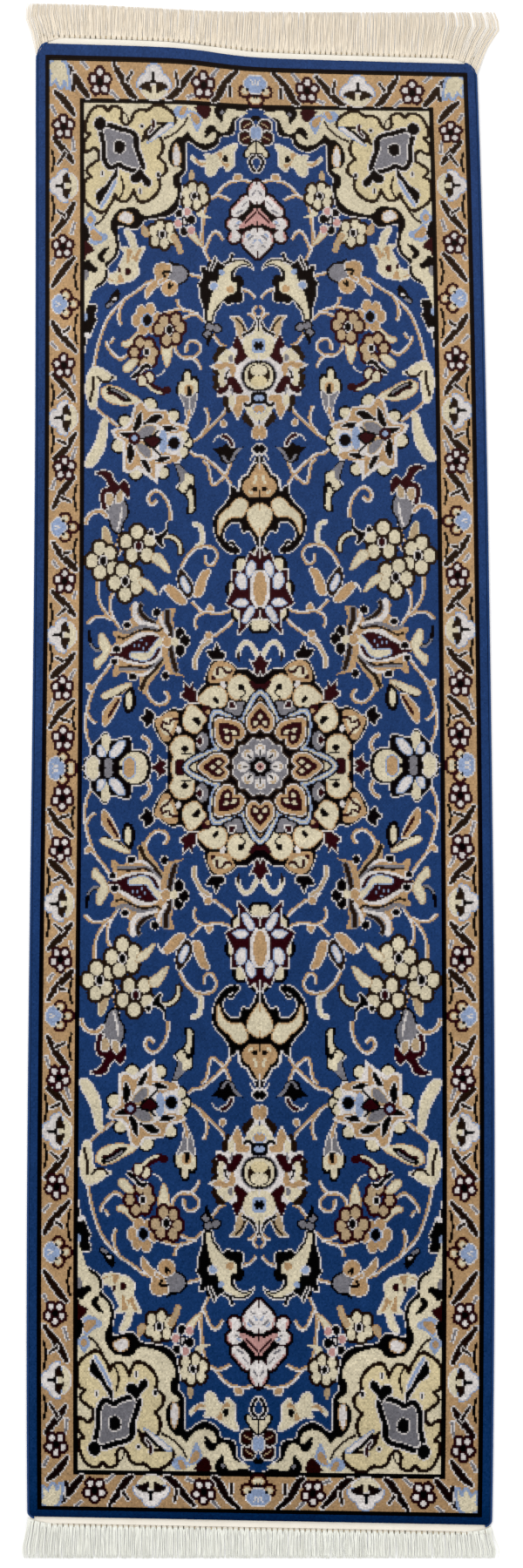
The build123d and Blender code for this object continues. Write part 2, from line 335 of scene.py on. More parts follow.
def paintBudFlower(plan):
    # grey seed head with camel scrolls
    plan.leaf([(93, 675), (98, 683), (108, 687), (118, 684), (120, 672), (117, 660), (108, 660),
        (97, 665)], "grey", "black")
    plan.leaf([(112, 690), (118, 693), (116, 686)], "black")
    plan.leaf([(116, 684), (124, 689), (135, 688), (139, 680), (137, 668), (141, 664), (150, 655),
        (151, 642), (146, 646), (138, 655), (128, 662), (122, 668)], "camel", "white")
    plan.vine([(117, 677), (126, 677), (125, 671)], "black", 4)
    plan.leaf([(108, 660), (110, 648), (120, 644), (128, 650), (127, 661), (118, 665)], "camel", "white")
    plan.vine([(114, 659), (119, 654), (118, 662)], "black", 3)
    plan.vine([(128, 668), (134, 664), (131, 658)], "white", 2)


def paintGreyRosette(plan):
    for x, y in ((54, 598), (64, 600), (67, 590)):
        plan.dot(x, y, 5.5, "grey", "black", ry=5)
    for x, y in ((54, 598), (64, 600), (67, 590)):
        plan.dot(x, y, 4.5, "grey", ry=4)
    plan.leaf([(60, 590), (66, 588), (68, 580), (66, 573)], "black")


def paintPairedLeaf(plan):
    # big cream leaf beside the axis, with black spine
    plan.leaf([(4, 680), (9, 689), (18, 694), (30, 694), (38, 690), (45, 688), (50, 690), (57, 694),
        (60, 688), (64, 676), (70, 684), (75, 683), (73, 672), (76, 662), (80, 660), (77, 654),
        (76, 640), (72, 628), (71, 615), (68, 606), (60, 607), (56, 620), (50, 628), (46, 636),
        (38, 631), (30, 634), (22, 634), (18, 640), (21, 655), (19, 662), (24, 670), (30, 671),
        (27, 681), (18, 685), (9, 684)], "black", "white")
    plan.leaf([(8, 686), (18, 691), (32, 690), (42, 683), (50, 670), (56, 655), (62, 640), (66, 622),
        (66, 611), (62, 609), (58, 622), (50, 633), (40, 643), (34, 645), (27, 650), (27, 660),
        (35, 665), (33, 678), (20, 687)], "cream")
    plan.dot(35, 652, 5.5, "camel", ry=5)
    plan.vine([(63, 690), (66, 670), (69, 650), (68, 625)], "black", 5)
    plan.dot(47, 676, 4, "sky", ry=4)
    plan.dot(58, 657, 5, "sky", "white", ry=5)
    plan.vine([(33, 700), (35, 692), (42, 688)], "black", 4, "white")
    plan.vine([(55, 696), (58, 688), (62, 680)], "black", 3, "white")
    plan.leaf([(19, 655), (25, 665), (30, 668), (24, 672), (17, 665)], "black")


def paintSprigs(plan):
    # small curled sprigs, hooks and buds on the blue ground
    plan.leaf([(12, 590), (17, 603), (22, 612), (30, 614), (36, 613), (29, 606), (27, 592), (21, 582),
        (14, 586)], "tan", "white")
    plan.vine([(15, 590), (19, 602), (27, 611)], "brown", 3)
    plan.vine([(126, 312), (117, 311), (109, 306), (105, 298), (104, 289)], "cream", 5, "brown")
    plan.leaf([(122, 332), (124, 322), (130, 316), (140, 313), (148, 316), (143, 322), (138, 308),
        (133, 300), (127, 298), (129, 308), (122, 316)], "black", "white")


def paintRoundFlowers(plan):
    # three flowers beside the leaf: camel one and two maroon rimmed ones
    plan.dot(148, 612, 4, "camel")
    for dx, dy in ((-4, 15), (8, 12), (15, 0), (6, -13), (-6, -10), (-14, 2)):
        plan.dot(149 + dx, 611 + dy, 6, "camel", "white", ry=8)
    for dx, dy in ((-4, 15), (8, 12), (15, 0), (6, -13), (-6, -10), (-14, 2)):
        plan.dot(149 + dx, 611 + dy, 6, "camel", ry=8)
    plan.dot(149, 611, 6, "black", "sky", ry=8)
    plan.leaf([(158, 592), (165, 592), (175, 583), (184, 580), (180, 575), (170, 578)], "cream", "camel")
    plan.leaf([(116, 576), (117, 562), (120, 550), (124, 548), (128, 562), (129, 575)], "cream", "camel")
    paintPetals(plan, 119, 597, [(-9, 14), (7, 12), (14, 1), (4, -14), (-9, -11), (-15, 3)], 6, 7.5,
        "tan", "maroon", "maroon")
    plan.dot(119, 597, 4, "black", "white", ry=6)
    paintPetals(plan, 157, 562, [(-10, 15), (2, 18), (10, 5), (-4, -10), (-16, 4), (-13, -6)], 5.5, 7,
        "tan", "maroon", "maroon")
    plan.dot(150, 567, 3.5, "black", "white", ry=5)
    plan.leaf([(163, 556), (172, 556), (181, 547), (180, 541), (171, 543)], "cream", "tan")


def paintCurledBud(plan):
    plan.vine([(158, 538), (150, 528), (142, 518), (130, 512), (122, 514)], "maroon", 10)
    plan.vine([(168, 533), (160, 540), (152, 548), (146, 546)], "black", 5, "white")
    plan.leaf([(140, 530), (144, 538), (150, 538), (152, 530), (146, 524)], "cream", "maroon")
    plan.leaf([(150, 528), (156, 535), (162, 530), (160, 521), (152, 521)], "cream", "maroon")
    plan.vine([(150, 521), (140, 513), (131, 510)], "cream", 4)
    plan.vine([(136, 534), (130, 536), (126, 541)], "white", 2)


def paintArchedBud(plan):
    # upright bud with three rounded ivory lobes over a grey stalk
    plan.leaf([(80, 508), (78, 520), (82, 533), (88, 532), (90, 541), (97, 543), (102, 534), (103, 528),
        (109, 522), (110, 510), (104, 505), (92, 503)], "black")
    plan.leaf([(83, 508), (81, 520), (84, 528), (90, 527), (91, 536), (95, 539), (99, 534), (99, 526),
        (105, 523), (107, 512), (102, 507), (92, 506)], "cream")
    plan.leaf([(88, 508), (87, 519), (98, 519), (97, 508)], "camel")
    plan.leaf([(90, 504), (90, 517), (95, 517), (94, 504)], "black")
    plan.leaf([(83, 508), (85, 490), (92, 474), (97, 482), (99, 495), (105, 508), (93, 502)], "grey", "white")
    plan.vine([(91, 503), (91, 490)], "white", 2)
    plan.vine([(92, 485), (94, 474), (97, 466)], "camel", 3, "white")


def paintGreyBlossom(plan):
    plan.leaf([(18, 435), (24, 432), (34, 434), (42, 438), (50, 434), (60, 431), (54, 425), (49, 414),
        (42, 411), (33, 413), (27, 424)], "black")
    plan.leaf([(20, 433), (28, 430), (35, 420), (36, 414), (40, 414), (44, 420), (56, 430), (50, 424),
        (44, 414), (34, 414), (28, 424)], "grey")
    plan.vine([(34, 436), (39, 445), (46, 449)], "maroon", 5, "white")
    plan.vine([(50, 450), (56, 447), (59, 442)], "white", 2)


def paintHangingBud(plan):
    plan.leaf([(112, 411), (105, 412), (95, 400), (86, 396), (84, 380), (82, 360), (84, 346), (92, 341),
        (97, 344), (95, 358), (100, 368), (110, 376), (107, 390)], "black")
    plan.leaf([(110, 409), (103, 408), (95, 398), (98, 388), (104, 380), (106, 395)], "grey")
    plan.leaf([(98, 398), (88, 394), (86, 383), (93, 384), (98, 372), (106, 376), (104, 384),
        (99, 390)], "cream")
    plan.leaf([(90, 376), (87, 362), (86, 348), (93, 345), (92, 358), (96, 370)], "cream")
    plan.vine([(106, 385), (110, 379)], "white", 2.4)
    plan.dot(96, 374, 2, "brown")


def paintLongBud(plan):
    # long bud on the side stem, ivory below and grey above
    plan.leaf([(160, 501), (175, 510), (192, 519), (205, 520), (212, 514), (205, 502), (192, 496),
        (178, 495), (166, 497)], "cream", "camel")
    plan.leaf([(170, 501), (184, 513), (200, 520), (206, 516), (196, 509), (182, 500)], "black")
    plan.vine([(178, 505), (190, 513), (198, 516)], "grey", 3)
    plan.vine([(182, 500), (192, 508), (203, 511)], "maroon", 3)


def paintPairLeafCream(plan):
    # long cream leaf with dark edge near the side, and its partner above
    plan.leaf([(192, 532), (200, 537), (212, 545), (224, 546), (231, 535), (233, 515), (230, 500),
        (226, 490), (219, 495), (217, 515), (214, 525), (204, 528), (196, 530)], "cream", "white")
    plan.vine([(196, 534), (203, 527), (212, 528), (217, 534)], "brown", 3)
    plan.vine([(223, 533), (224, 515), (228, 500)], "brown", 4)
    plan.leaf([(204, 476), (211, 474), (216, 455), (222, 438), (230, 425), (233, 412), (224, 410),
        (215, 422), (208, 436), (205, 455)], "cream", "white")


def paintDarkSprayBud(plan):
    # maroon and grey flower bud with a curved maroon plume
    plan.leaf([(180, 360), (176, 345), (183, 330), (186, 318), (196, 322), (200, 335), (206, 345),
        (200, 355), (192, 365)], "grey", "black")
    plan.vine([(184, 352), (186, 335), (190, 322)], "white", 3)
    plan.leaf([(175, 365), (174, 380), (180, 390), (188, 385), (195, 392), (198, 400), (208, 404),
        (220, 401), (208, 395), (202, 382), (210, 378), (213, 368), (210, 352), (203, 352), (200, 362),
        (190, 366), (184, 362), (182, 374)], "maroon", "white")
    plan.leaf([(184, 375), (184, 362), (191, 360), (190, 372)], "tan", "white")
    plan.leaf([(198, 372), (196, 362), (203, 356), (205, 370)], "tan", "white")
    plan.vine([(204, 341), (212, 348), (222, 347), (230, 340), (233, 332)], "camel", 3.4, "white")


def paintTulip(plan):
    plan.leaf([(64, 264), (73, 263), (79, 255), (84, 243), (86, 231), (80, 228), (73, 236), (70, 250)],
        "camel", "white")
    plan.leaf([(96, 220), (104, 218), (113, 225), (123, 236), (125, 243), (117, 244), (107, 236),
        (100, 227)], "camel", "white")
    plan.vine([(124, 243), (129, 240), (132, 233)], "white", 2.4)
    plan.leaf([(104, 267), (96, 258), (88, 246), (87, 234), (93, 227), (100, 232), (107, 243),
        (108, 258)], "brown", "white")
    plan.leaf([(101, 256), (95, 246), (92, 237), (96, 235), (101, 243), (103, 251)], "white", "sky")


def paintLeafPair(plan):
    plan.leaf([(170, 110), (181, 109), (195, 103), (208, 96), (206, 90), (196, 92), (185, 97),
        (176, 104)], "cream", "tan")
    plan.vine([(178, 103), (188, 95), (198, 91), (206, 89)], "brown", 2.5)
    plan.leaf([(168, 107), (164, 95), (163, 84), (168, 73), (176, 70), (180, 78), (180, 92),
        (175, 103)], "black")
    plan.leaf([(171, 99), (169, 88), (171, 78), (175, 77), (177, 88), (175, 98)], "cream")
    plan.leaf([(184, 92), (188, 80), (195, 66), (204, 54), (208, 58), (207, 72), (198, 84), (191, 92)],
        "camel", "white")
    plan.vine([(187, 88), (193, 78), (200, 66)], "maroon", 4)


def paintPalmette(plan):
    # large open flower, seen from the side
    body = [(92, 462), (100, 466), (112, 470), (118, 474), (122, 486), (136, 488), (148, 488),
        (152, 496), (158, 500), (166, 496),
            (170, 484), (174, 470), (180, 464), (192, 463), (199, 459), (195, 449), (184, 444),
            (184, 430), (183, 415), (183, 402),
            (172, 400), (164, 405), (152, 397), (140, 388), (136, 384), (134, 394), (130, 408),
            (118, 414), (106, 412), (102, 420),
            (106, 430), (98, 440), (104, 452)]
    for x, y, r in ((114, 478, 8), (146, 494, 9), (180, 472, 8), (188, 438, 9), (165, 399, 8),
            (128, 400, 8), (97, 440, 9), (101, 450, 8), (102, 428, 8)):
        plan.dot(x, y, r, "cream", "black", ry=r)
    plan.leaf(body, "white", sharp=True)
    plan.leaf([(97, 459), (104, 464), (118, 468), (124, 484), (142, 485), (150, 486), (156, 496),
        (164, 492), (168, 474), (176, 462), (192, 459), (190, 451), (180, 444), (180, 425), (178, 406),
        (170, 404), (162, 410), (150, 402), (140, 393), (138, 402), (138, 412), (124, 412), (108, 416),
        (106, 422), (124, 428), (120, 440), (124, 452), (108, 455)], "camel")
    plan.leaf([(108, 460), (122, 465), (130, 462), (122, 457)], "black", "white")
    plan.leaf([(128, 478), (140, 480), (150, 472), (156, 468), (142, 467)], "black", "white")
    plan.leaf([(158, 484), (163, 478), (168, 465), (168, 456), (158, 466)], "black", "white")
    plan.leaf([(168, 456), (186, 457), (183, 451), (172, 449)], "black", "white")
    plan.leaf([(172, 441), (176, 436), (176, 420), (172, 414), (167, 428)], "black", "white")
    plan.leaf([(158, 418), (154, 408), (146, 400), (146, 408), (152, 418)], "black", "white")
    plan.leaf([(118, 421), (130, 423), (138, 417), (128, 415)], "black", "white")
    plan.leaf([(134, 466), (150, 468), (162, 460), (160, 446), (144, 440), (160, 440), (168, 442),
        (158, 420), (138, 418), (130, 428), (122, 440), (124, 456)], "white")
    plan.leaf([(138, 462), (152, 464), (162, 456), (160, 449), (148, 450)], "grey", "tan")
    plan.leaf([(144, 428), (152, 438), (164, 441), (158, 428), (148, 421)], "grey", "tan")
    plan.dot(128, 443, 6, "sky", ry=16)
    plan.leaf([(132, 445), (140, 450), (152, 447), (150, 440), (140, 436)], "maroon", "black")
    plan.dot(113, 440, 7.5, "black", "sky", ry=8.5)
    plan.dot(167, 448, 4, "sky", "maroon", "maroon", ry=5)
    plan.vine([(134, 458), (142, 452), (158, 447)], "black", 2.4)
    plan.vine([(132, 424), (142, 434), (152, 442)], "black", 2.4)


def paintSideLotus(plan):
    # large lotus lying towards the side, pointed mouth outwards
    plan.leaf([(110, 212), (124, 211), (130, 206), (135, 198), (144, 192), (152, 193), (158, 202),
        (164, 214), (166, 222), (172, 214), (170, 200), (176, 196), (184, 183), (196, 181), (190, 170),
        (198, 160), (199, 150), (190, 144), (196, 124), (190, 120), (184, 126), (172, 124), (160, 120),
        (156, 100), (150, 96), (146, 108), (136, 122), (126, 136), (124, 124), (114, 122), (98, 119),
        (106, 125), (108, 140), (110, 160), (106, 168), (112, 185), (114, 200)], "camel")
    for x, y in ((105, 178), (98, 168), (105, 155)):
        plan.dot(x, y, 6.5, "black", "white", ry=8)
    plan.vine([(122, 208), (122, 195), (117, 182), (118, 170)], "brown", 6, "grey")
    plan.vine([(118, 165), (116, 150), (113, 138), (110, 128)], "brown", 6, "grey")
    plan.vine([(132, 202), (128, 190), (122, 180)], "white", 5)
    plan.vine([(158, 218), (158, 208), (150, 199), (140, 194)], "brown", 5, "grey")
    plan.vine([(165, 219), (166, 206), (160, 195), (148, 191), (136, 187)], "white", 7)
    plan.vine([(187, 184), (175, 181), (162, 187), (148, 187), (136, 184)], "grey", 5)
    plan.vine([(188, 175), (180, 173), (166, 180), (150, 185), (136, 182), (128, 186)], "brown", 3)
    plan.vine([(156, 104), (150, 118), (140, 128), (130, 142)], "brown", 6, "tan")
    plan.vine([(160, 122), (150, 124), (140, 132)], "white", 4)
    plan.vine([(184, 130), (170, 131), (155, 130), (142, 134), (130, 146)], "grey", 5)
    plan.vine([(186, 133), (170, 134), (150, 132), (138, 140)], "brown", 3)
    plan.leaf([(128, 160), (132, 175), (145, 181), (160, 180), (172, 172), (184, 164), (199, 152),
        (188, 145), (172, 138), (155, 136), (140, 138), (130, 146)], "white")
    plan.leaf([(129, 168), (136, 175), (150, 176), (164, 170), (178, 162), (199, 151), (186, 147),
        (172, 142), (156, 139), (142, 142), (134, 150)], "maroon")
    plan.leaf([(130, 172), (136, 168), (144, 158), (150, 152), (166, 153), (172, 149), (164, 144),
        (150, 143), (143, 148), (136, 158), (128, 164)], "cream", "sky")
    for x, y in ((150, 164), (157, 170), (160, 162), (154, 158), (166, 163)):
        plan.dot(x, y, 1.8, "sky", ry=1.6)
    plan.dot(122, 167, 6, "camel", "white", ry=7)
    plan.leaf([(108, 162), (108, 172), (115, 172), (116, 163)], "cream")
    plan.dot(190, 158, 5.5, "black", "white", ry=4.5)
    plan.dot(193, 141, 5, "black", "white", ry=4)
    plan.dot(176, 191, 5, "black", "white", ry=4.5)
    plan.dot(136, 207, 5, "black", "white", ry=5.5)
    plan.dot(168, 120, 6, "black", "white", ry=4.5)
    plan.dot(124, 121, 4.5, "black", "white", ry=6)
    plan.leaf([(199, 161), (204, 172), (210, 180), (214, 172), (211, 160), (208, 154), (214, 146),
        (220, 142), (217, 132), (210, 138), (204, 146)], "cream", "tan")
    plan.vine([(214, 157), (221, 160), (226, 170), (227, 182)], "black", 5)
    plan.vine([(213, 156), (220, 158), (225, 165)], "grey", 3)


def paintSideFlower(plan):
    # half flower at the middle of each long side; mirrored about the middle line
    plan.leaf([(143, 0), (146, 12), (156, 20), (168, 21), (170, 34), (174, 39), (184, 36), (196, 34),
        (204, 45), (212, 36), (218, 30), (222, 24), (224, 14), (232, 8), (232, 0), (232, -8),
        (143, -8)], "black", "white")
    plan.leaf([(148, 0), (152, 12), (162, 18), (172, 17), (180, 10), (184, 0), (148, -6)], "cream")
    plan.dot(172, 0, 8, "camel", "sky", ry=10)
    plan.leaf([(178, 30), (184, 33), (190, 28), (198, 16), (194, 12), (186, 16)], "white", "sky")
    plan.leaf([(198, 38), (204, 42), (210, 38), (208, 26), (203, 16), (199, 24)], "cream")
    plan.leaf([(205, 14), (208, 24), (214, 25), (212, 14)], "white", "sky")
    plan.dot(200, 3, 6, "grey", ry=8)
    plan.leaf([(214, 0), (214, 8), (220, 12), (228, 7), (230, 0), (228, -6), (216, -6)], "cream", "white")


def paintAxisFlower(plan):
    # lobed maroon flower standing on the axis
    for x, y in ((22, 270), (32, 238), (25, 206), (0, 282), (2, 190)):
        plan.dot(x, y, 8, "cream", "black", "black", ry=10)
    plan.leaf([(-2, 295), (4, 282), (10, 288), (14, 280), (18, 268), (24, 262), (34, 264), (35, 256),
        (33, 240), (36, 232), (42, 218), (32, 212), (24, 206), (25, 190), (26, 176), (18, 185),
        (8, 196), (-2, 205)], "maroon", "white")
    plan.leaf([(4, 272), (10, 275), (15, 264), (12, 255), (6, 262)], "white", "sky")
    plan.leaf([(18, 256), (26, 258), (28, 246), (22, 238), (16, 242)], "white", "sky")
    plan.leaf([(16, 222), (24, 224), (32, 218), (22, 214), (15, 217)], "white", "sky")
    plan.leaf([(6, 212), (12, 212), (20, 196), (16, 193), (8, 204)], "white", "sky")
    plan.dot(-2, 238, 8, "camel", "white", "black", ry=24)
    plan.vine([(2, 262), (8, 250), (8, 226), (2, 212)], "white", 4)


def paintAxisScroll(plan):
    # camel arabesque with rolled ends, above the maroon flower
    plan.leaf([(-2, 414), (6, 409), (11, 399), (14, 394), (21, 390), (25, 372), (31, 377), (37, 379),
        (38, 366), (46, 353), (56, 342), (60, 330), (57, 312), (51, 300), (42, 290), (30, 286),
        (24, 291), (30, 298), (34, 304), (40, 302), (45, 306), (46, 314), (42, 324), (33, 330),
        (24, 328), (20, 316), (12, 318), (6, 310), (-2, 302)], "black", "white")
    plan.vine([(33, 297), (38, 299)], "white", 2)
    plan.leaf([(-2, 408), (6, 400), (11, 391), (18, 386), (20, 376), (15, 367), (7, 364), (-2, 368)], "camel")
    plan.vine([(2, 392), (4, 384)], "cream", 4)
    plan.vine([(7, 369), (12, 372)], "cream", 3)
    plan.dot(4, 375, 3.6, "black", ry=4)
    plan.leaf([(14, 355), (19, 361), (28, 361), (33, 356), (37, 350), (45, 345), (51, 337), (53, 326),
        (52, 314), (48, 325), (41, 334), (32, 338), (22, 337), (17, 345)], "cream", "camel")
    plan.leaf([(-2, 351), (7, 350), (13, 345), (13, 336), (9, 326), (3, 318), (-2, 314)], "cream", "camel")


def paintAxisPalmette(plan):
    # big ivory and maroon palmette on the axis
    for x, y, rx, ry in ((48, 568, 7, 6), (54, 557, 6, 8), (54, 540, 6, 7), (56, 528, 5, 6),
            (54, 517, 6, 6), (41, 497, 6, 9),
                         (38, 487, 5, 6), (12, 474, 8, 9), (6, 466, 8, 6)):
        plan.dot(x, y, rx, "brown", ry=ry)
    plan.leaf([(-2, 614), (4, 602), (12, 593), (20, 589), (12, 582), (-2, 586)], "black", "white")
    plan.leaf([(-2, 466), (7, 470), (13, 478), (18, 486), (26, 470), (33, 481), (39, 491), (40, 504),
        (54, 503), (54, 514), (50, 520), (52, 530), (52, 539), (64, 545), (55, 551), (50, 560),
        (44, 566), (34, 573), (28, 589), (22, 583), (14, 588), (4, 594), (-2, 600)], "white")
    plan.leaf([(31, 553), (50, 552), (52, 559), (46, 563), (42, 569), (35, 566), (30, 560)], "cream")
    plan.dot(35, 556, 3.2, "grey", ry=5)
    plan.leaf([(43, 518), (50, 519), (52, 527), (50, 533), (52, 539), (47, 545), (43, 540), (45, 530)],
        "cream")
    plan.leaf([(37, 541), (42, 536), (44, 528), (40, 527), (40, 534)], "black")
    plan.leaf([(31, 487), (37, 492), (38, 501), (34, 507), (30, 499)], "cream")
    plan.leaf([(-2, 469), (6, 473), (12, 481), (16, 487), (8, 489), (-2, 488)], "cream")
    plan.leaf([(30, 547), (46, 550), (59, 546), (50, 541), (44, 543), (38, 544), (35, 533), (31, 531)],
        "camel")
    plan.leaf([(10, 498), (14, 505), (26, 504), (29, 495), (32, 484), (26, 474), (21, 484), (20, 494)],
        "camel")
    plan.leaf([(27, 588), (21, 578), (17, 570), (12, 560), (18, 553), (28, 546), (30, 556), (26, 566),
        (32, 573)], "maroon")
    plan.leaf([(19, 509), (26, 524), (33, 531), (40, 529), (42, 519), (52, 516), (54, 508), (46, 508),
        (40, 512), (36, 520), (32, 509)], "maroon")
    plan.vine([(33, 506), (35, 514)], "grey", 3)
    plan.dot(0, 531, 20.5, "black", "grey", "white", ry=21)
    plan.dot(0, 531, 17.5, "cream", ry=18)
    plan.dot(0, 533, 12.5, "brown", ry=15)
    plan.dot(0, 539, 8.5, "cream", ry=7.5)
    plan.dot(0, 524, 8, "butter", ry=7.5)
    plan.leaf([(-2, 598), (6, 589), (14, 586), (18, 580), (19, 573), (15, 563), (10, 557), (-2, 557)],
        "cream")
    plan.dot(0, 573, 3.6, "black", "sky", "sky", ry=7)
    plan.vine([(6, 495), (11, 491), (17, 492)], "black", 4)
    plan.dot(0, 501, 4.6, "sky", "black", "black", ry=4.6)
    plan.dot(0, 486, 4, "camel", "sky", ry=5)
    plan.leaf([(-2, 462), (4, 460), (7, 452), (5, 446), (-2, 446)], "camel", "white")
    plan.leaf([(-2, 436), (4, 434), (6, 428), (-2, 424)], "black", "white")
    plan.vine([(4, 424), (10, 416)], "white", 2.4)
    plan.vine([(2, 412), (10, 405), (14, 396), (20, 393), (25, 386), (26, 374)], "white", 2.2)


def paintSilkFlower(plan):
    # ivory and pink silk flower on the axis, with dark edge
    lobes = [
        [(-2, 806), (5, 800), (9, 791), (8, 781), (-2, 774)],
        [(9, 783), (16, 784), (25, 773), (32, 765), (31, 756), (24, 755), (14, 763), (8, 772)],
        [(18, 747), (26, 752), (35, 751), (39, 744), (35, 737), (26, 735)],
        [(21, 730), (28, 735), (34, 731), (35, 721), (28, 718), (22, 723)],
        [(-2, 736), (8, 735), (17, 729), (18, 718), (12, 709), (4, 701), (-2, 698)],
    ]
    for lobe in lobes:
        plan.leaf(lobe, "white", "maroon", "black")
    plan.leaf([(-2, 774), (14, 764), (22, 752), (22, 736), (10, 737), (-2, 740)], "black")
    for lobe in lobes:
        plan.leaf(lobe, "white")
    for run in ([(15, 783), (24, 774), (31, 766)], [(36, 750), (38, 744)], [(34, 731), (35, 722)],
            [(3, 803), (8, 794)], [(15, 729), (18, 719)]):
        plan.vine(run, "pink", 2.4)
    for run in ([(12, 776), (18, 770)], [(18, 764), (25, 760)], [(0, 792), (4, 786)],
            [(22, 744), (28, 741)], [(4, 728), (10, 722)], [(2, 714), (7, 712)]):
        plan.vine(run, "grey", 2.2)
    for run in ([(21, 748), (26, 745)], [(8, 730), (12, 725)], [(0, 722), (3, 717)]):
        plan.vine(run, "sky", 2.2)
    plan.leaf([(-2, 767), (6, 761), (14, 751), (23, 741), (18, 738), (10, 742), (4, 745), (-2, 743)], "pink")
    plan.vine([(0, 761), (7, 753), (14, 746)], "maroon", 3)


def paintCreamLeaf(plan):
    # cream leaf with a dark eye, beside the stem flower
    plan.leaf([(24, 862), (34, 860), (46, 852), (58, 845), (68, 846), (66, 836), (78, 836), (86, 843),
        (87, 838), (76, 830), (68, 828), (66, 816), (56, 816), (50, 826), (42, 830), (38, 822),
        (28, 832), (29, 846)], "cream", "white")
    plan.leaf([(34, 834), (40, 833), (46, 838), (52, 848), (44, 850), (46, 836), (38, 826)], "camel")
    plan.dot(40, 840, 4, "black", "cream", ry=5)
    plan.leaf([(66, 832), (74, 834), (84, 842), (76, 830)], "camel")


def paintStemFlower(plan):
    # small upright flower between the corner pieces
    for x, y in ((10, 890), (12, 872)):
        plan.dot(x, y, 7, "maroon", "brown", "white", ry=8)
    plan.vine([(6, 894), (14, 888)], "tan", 2)
    plan.vine([(8, 874), (15, 870)], "tan", 2)
    plan.dot(0, 880, 5, "sky", "white", ry=9)
    plan.leaf([(-2, 866), (4, 862), (8, 858), (14, 846), (8, 844), (4, 850), (-2, 850)], "cream", "black")
    plan.vine([(0, 845), (6, 838), (4, 828), (0, 822)], "black", 4, "white")
    plan.dot(0, 902, 4, "black", ry=4)


def paintUpperLeaf(plan):
    # cream leaf with a forked stem, under the corner piece
    plan.leaf([(152, 712), (156, 704), (160, 696), (162, 688), (161, 676), (168, 668), (180, 664),
        (190, 662), (200, 664), (204, 672), (205, 684), (200, 676), (190, 680), (186, 690), (182, 698),
        (180, 706), (186, 712), (180, 712), (172, 712), (174, 722), (180, 734), (174, 737), (166, 726),
        (162, 712)], "cream", "white")
    plan.leaf([(156, 710), (160, 702), (163, 692), (170, 696), (176, 690), (177, 708), (170, 708),
        (166, 700), (162, 708)], "camel")
    plan.vine([(166, 710), (172, 696)], "cream", 3)
    plan.leaf([(172, 676), (173, 684), (179, 682), (178, 673)], "maroon")
    plan.leaf([(180, 664), (186, 676), (190, 664)], "camel")
    plan.leaf([(184, 680), (188, 686), (189, 678)], "maroon")
    plan.vine([(196, 666), (206, 671)], "camel", 2.4)


def paintHookDark(plan):
    plan.leaf([(186, 650), (190, 655), (198, 648), (202, 640), (208, 632), (202, 627), (196, 634),
        (188, 640)], "black")
    plan.vine([(192, 642), (196, 640)], "white", 3)
    plan.vine([(198, 634), (203, 632)], "grey", 5)
    plan.leaf([(221, 633), (232, 632), (234, 622), (236, 600), (236, 566), (232, 590), (226, 595),
        (222, 606), (218, 612), (222, 620), (218, 627)], "black", "white")
    plan.leaf([(232, 622), (237, 620), (237, 612), (232, 614)], "sky")
    plan.leaf([(226, 592), (236, 596), (236, 590), (228, 588)], "white")


def paintCornerGround(plan, outline):
    plan.leaf(outline, "black", "white", sharp=False)
    inner = [(22, 912), (30, 900), (33, 890), (38, 881), (48, 880), (56, 889), (64, 887), (68, 878),
        (64, 872), (60, 876), (54, 880), (54, 870),
             (62, 862), (74, 862), (84, 868), (92, 878), (98, 872), (106, 870), (114, 862), (118, 850),
             (118, 836), (112, 828), (102, 826),
             (102, 822), (112, 814), (112, 800), (106, 792), (110, 778), (118, 768), (128, 762),
             (142, 758), (154, 758), (164, 768), (178, 768), (190, 764),
             (197, 752), (200, 742), (194, 728), (192, 712), (197, 698), (206, 692), (206, 682),
             (210, 668), (220, 660), (240, 640), (240, 914)]
    plan.leaf(inner, "cream")
    plan.leaf([(108, 860), (103, 845), (104, 832), (110, 830), (112, 845)], "white", "camel")
    plan.leaf([(170, 758), (180, 762), (188, 754), (180, 748), (170, 748)], "white", "camel")


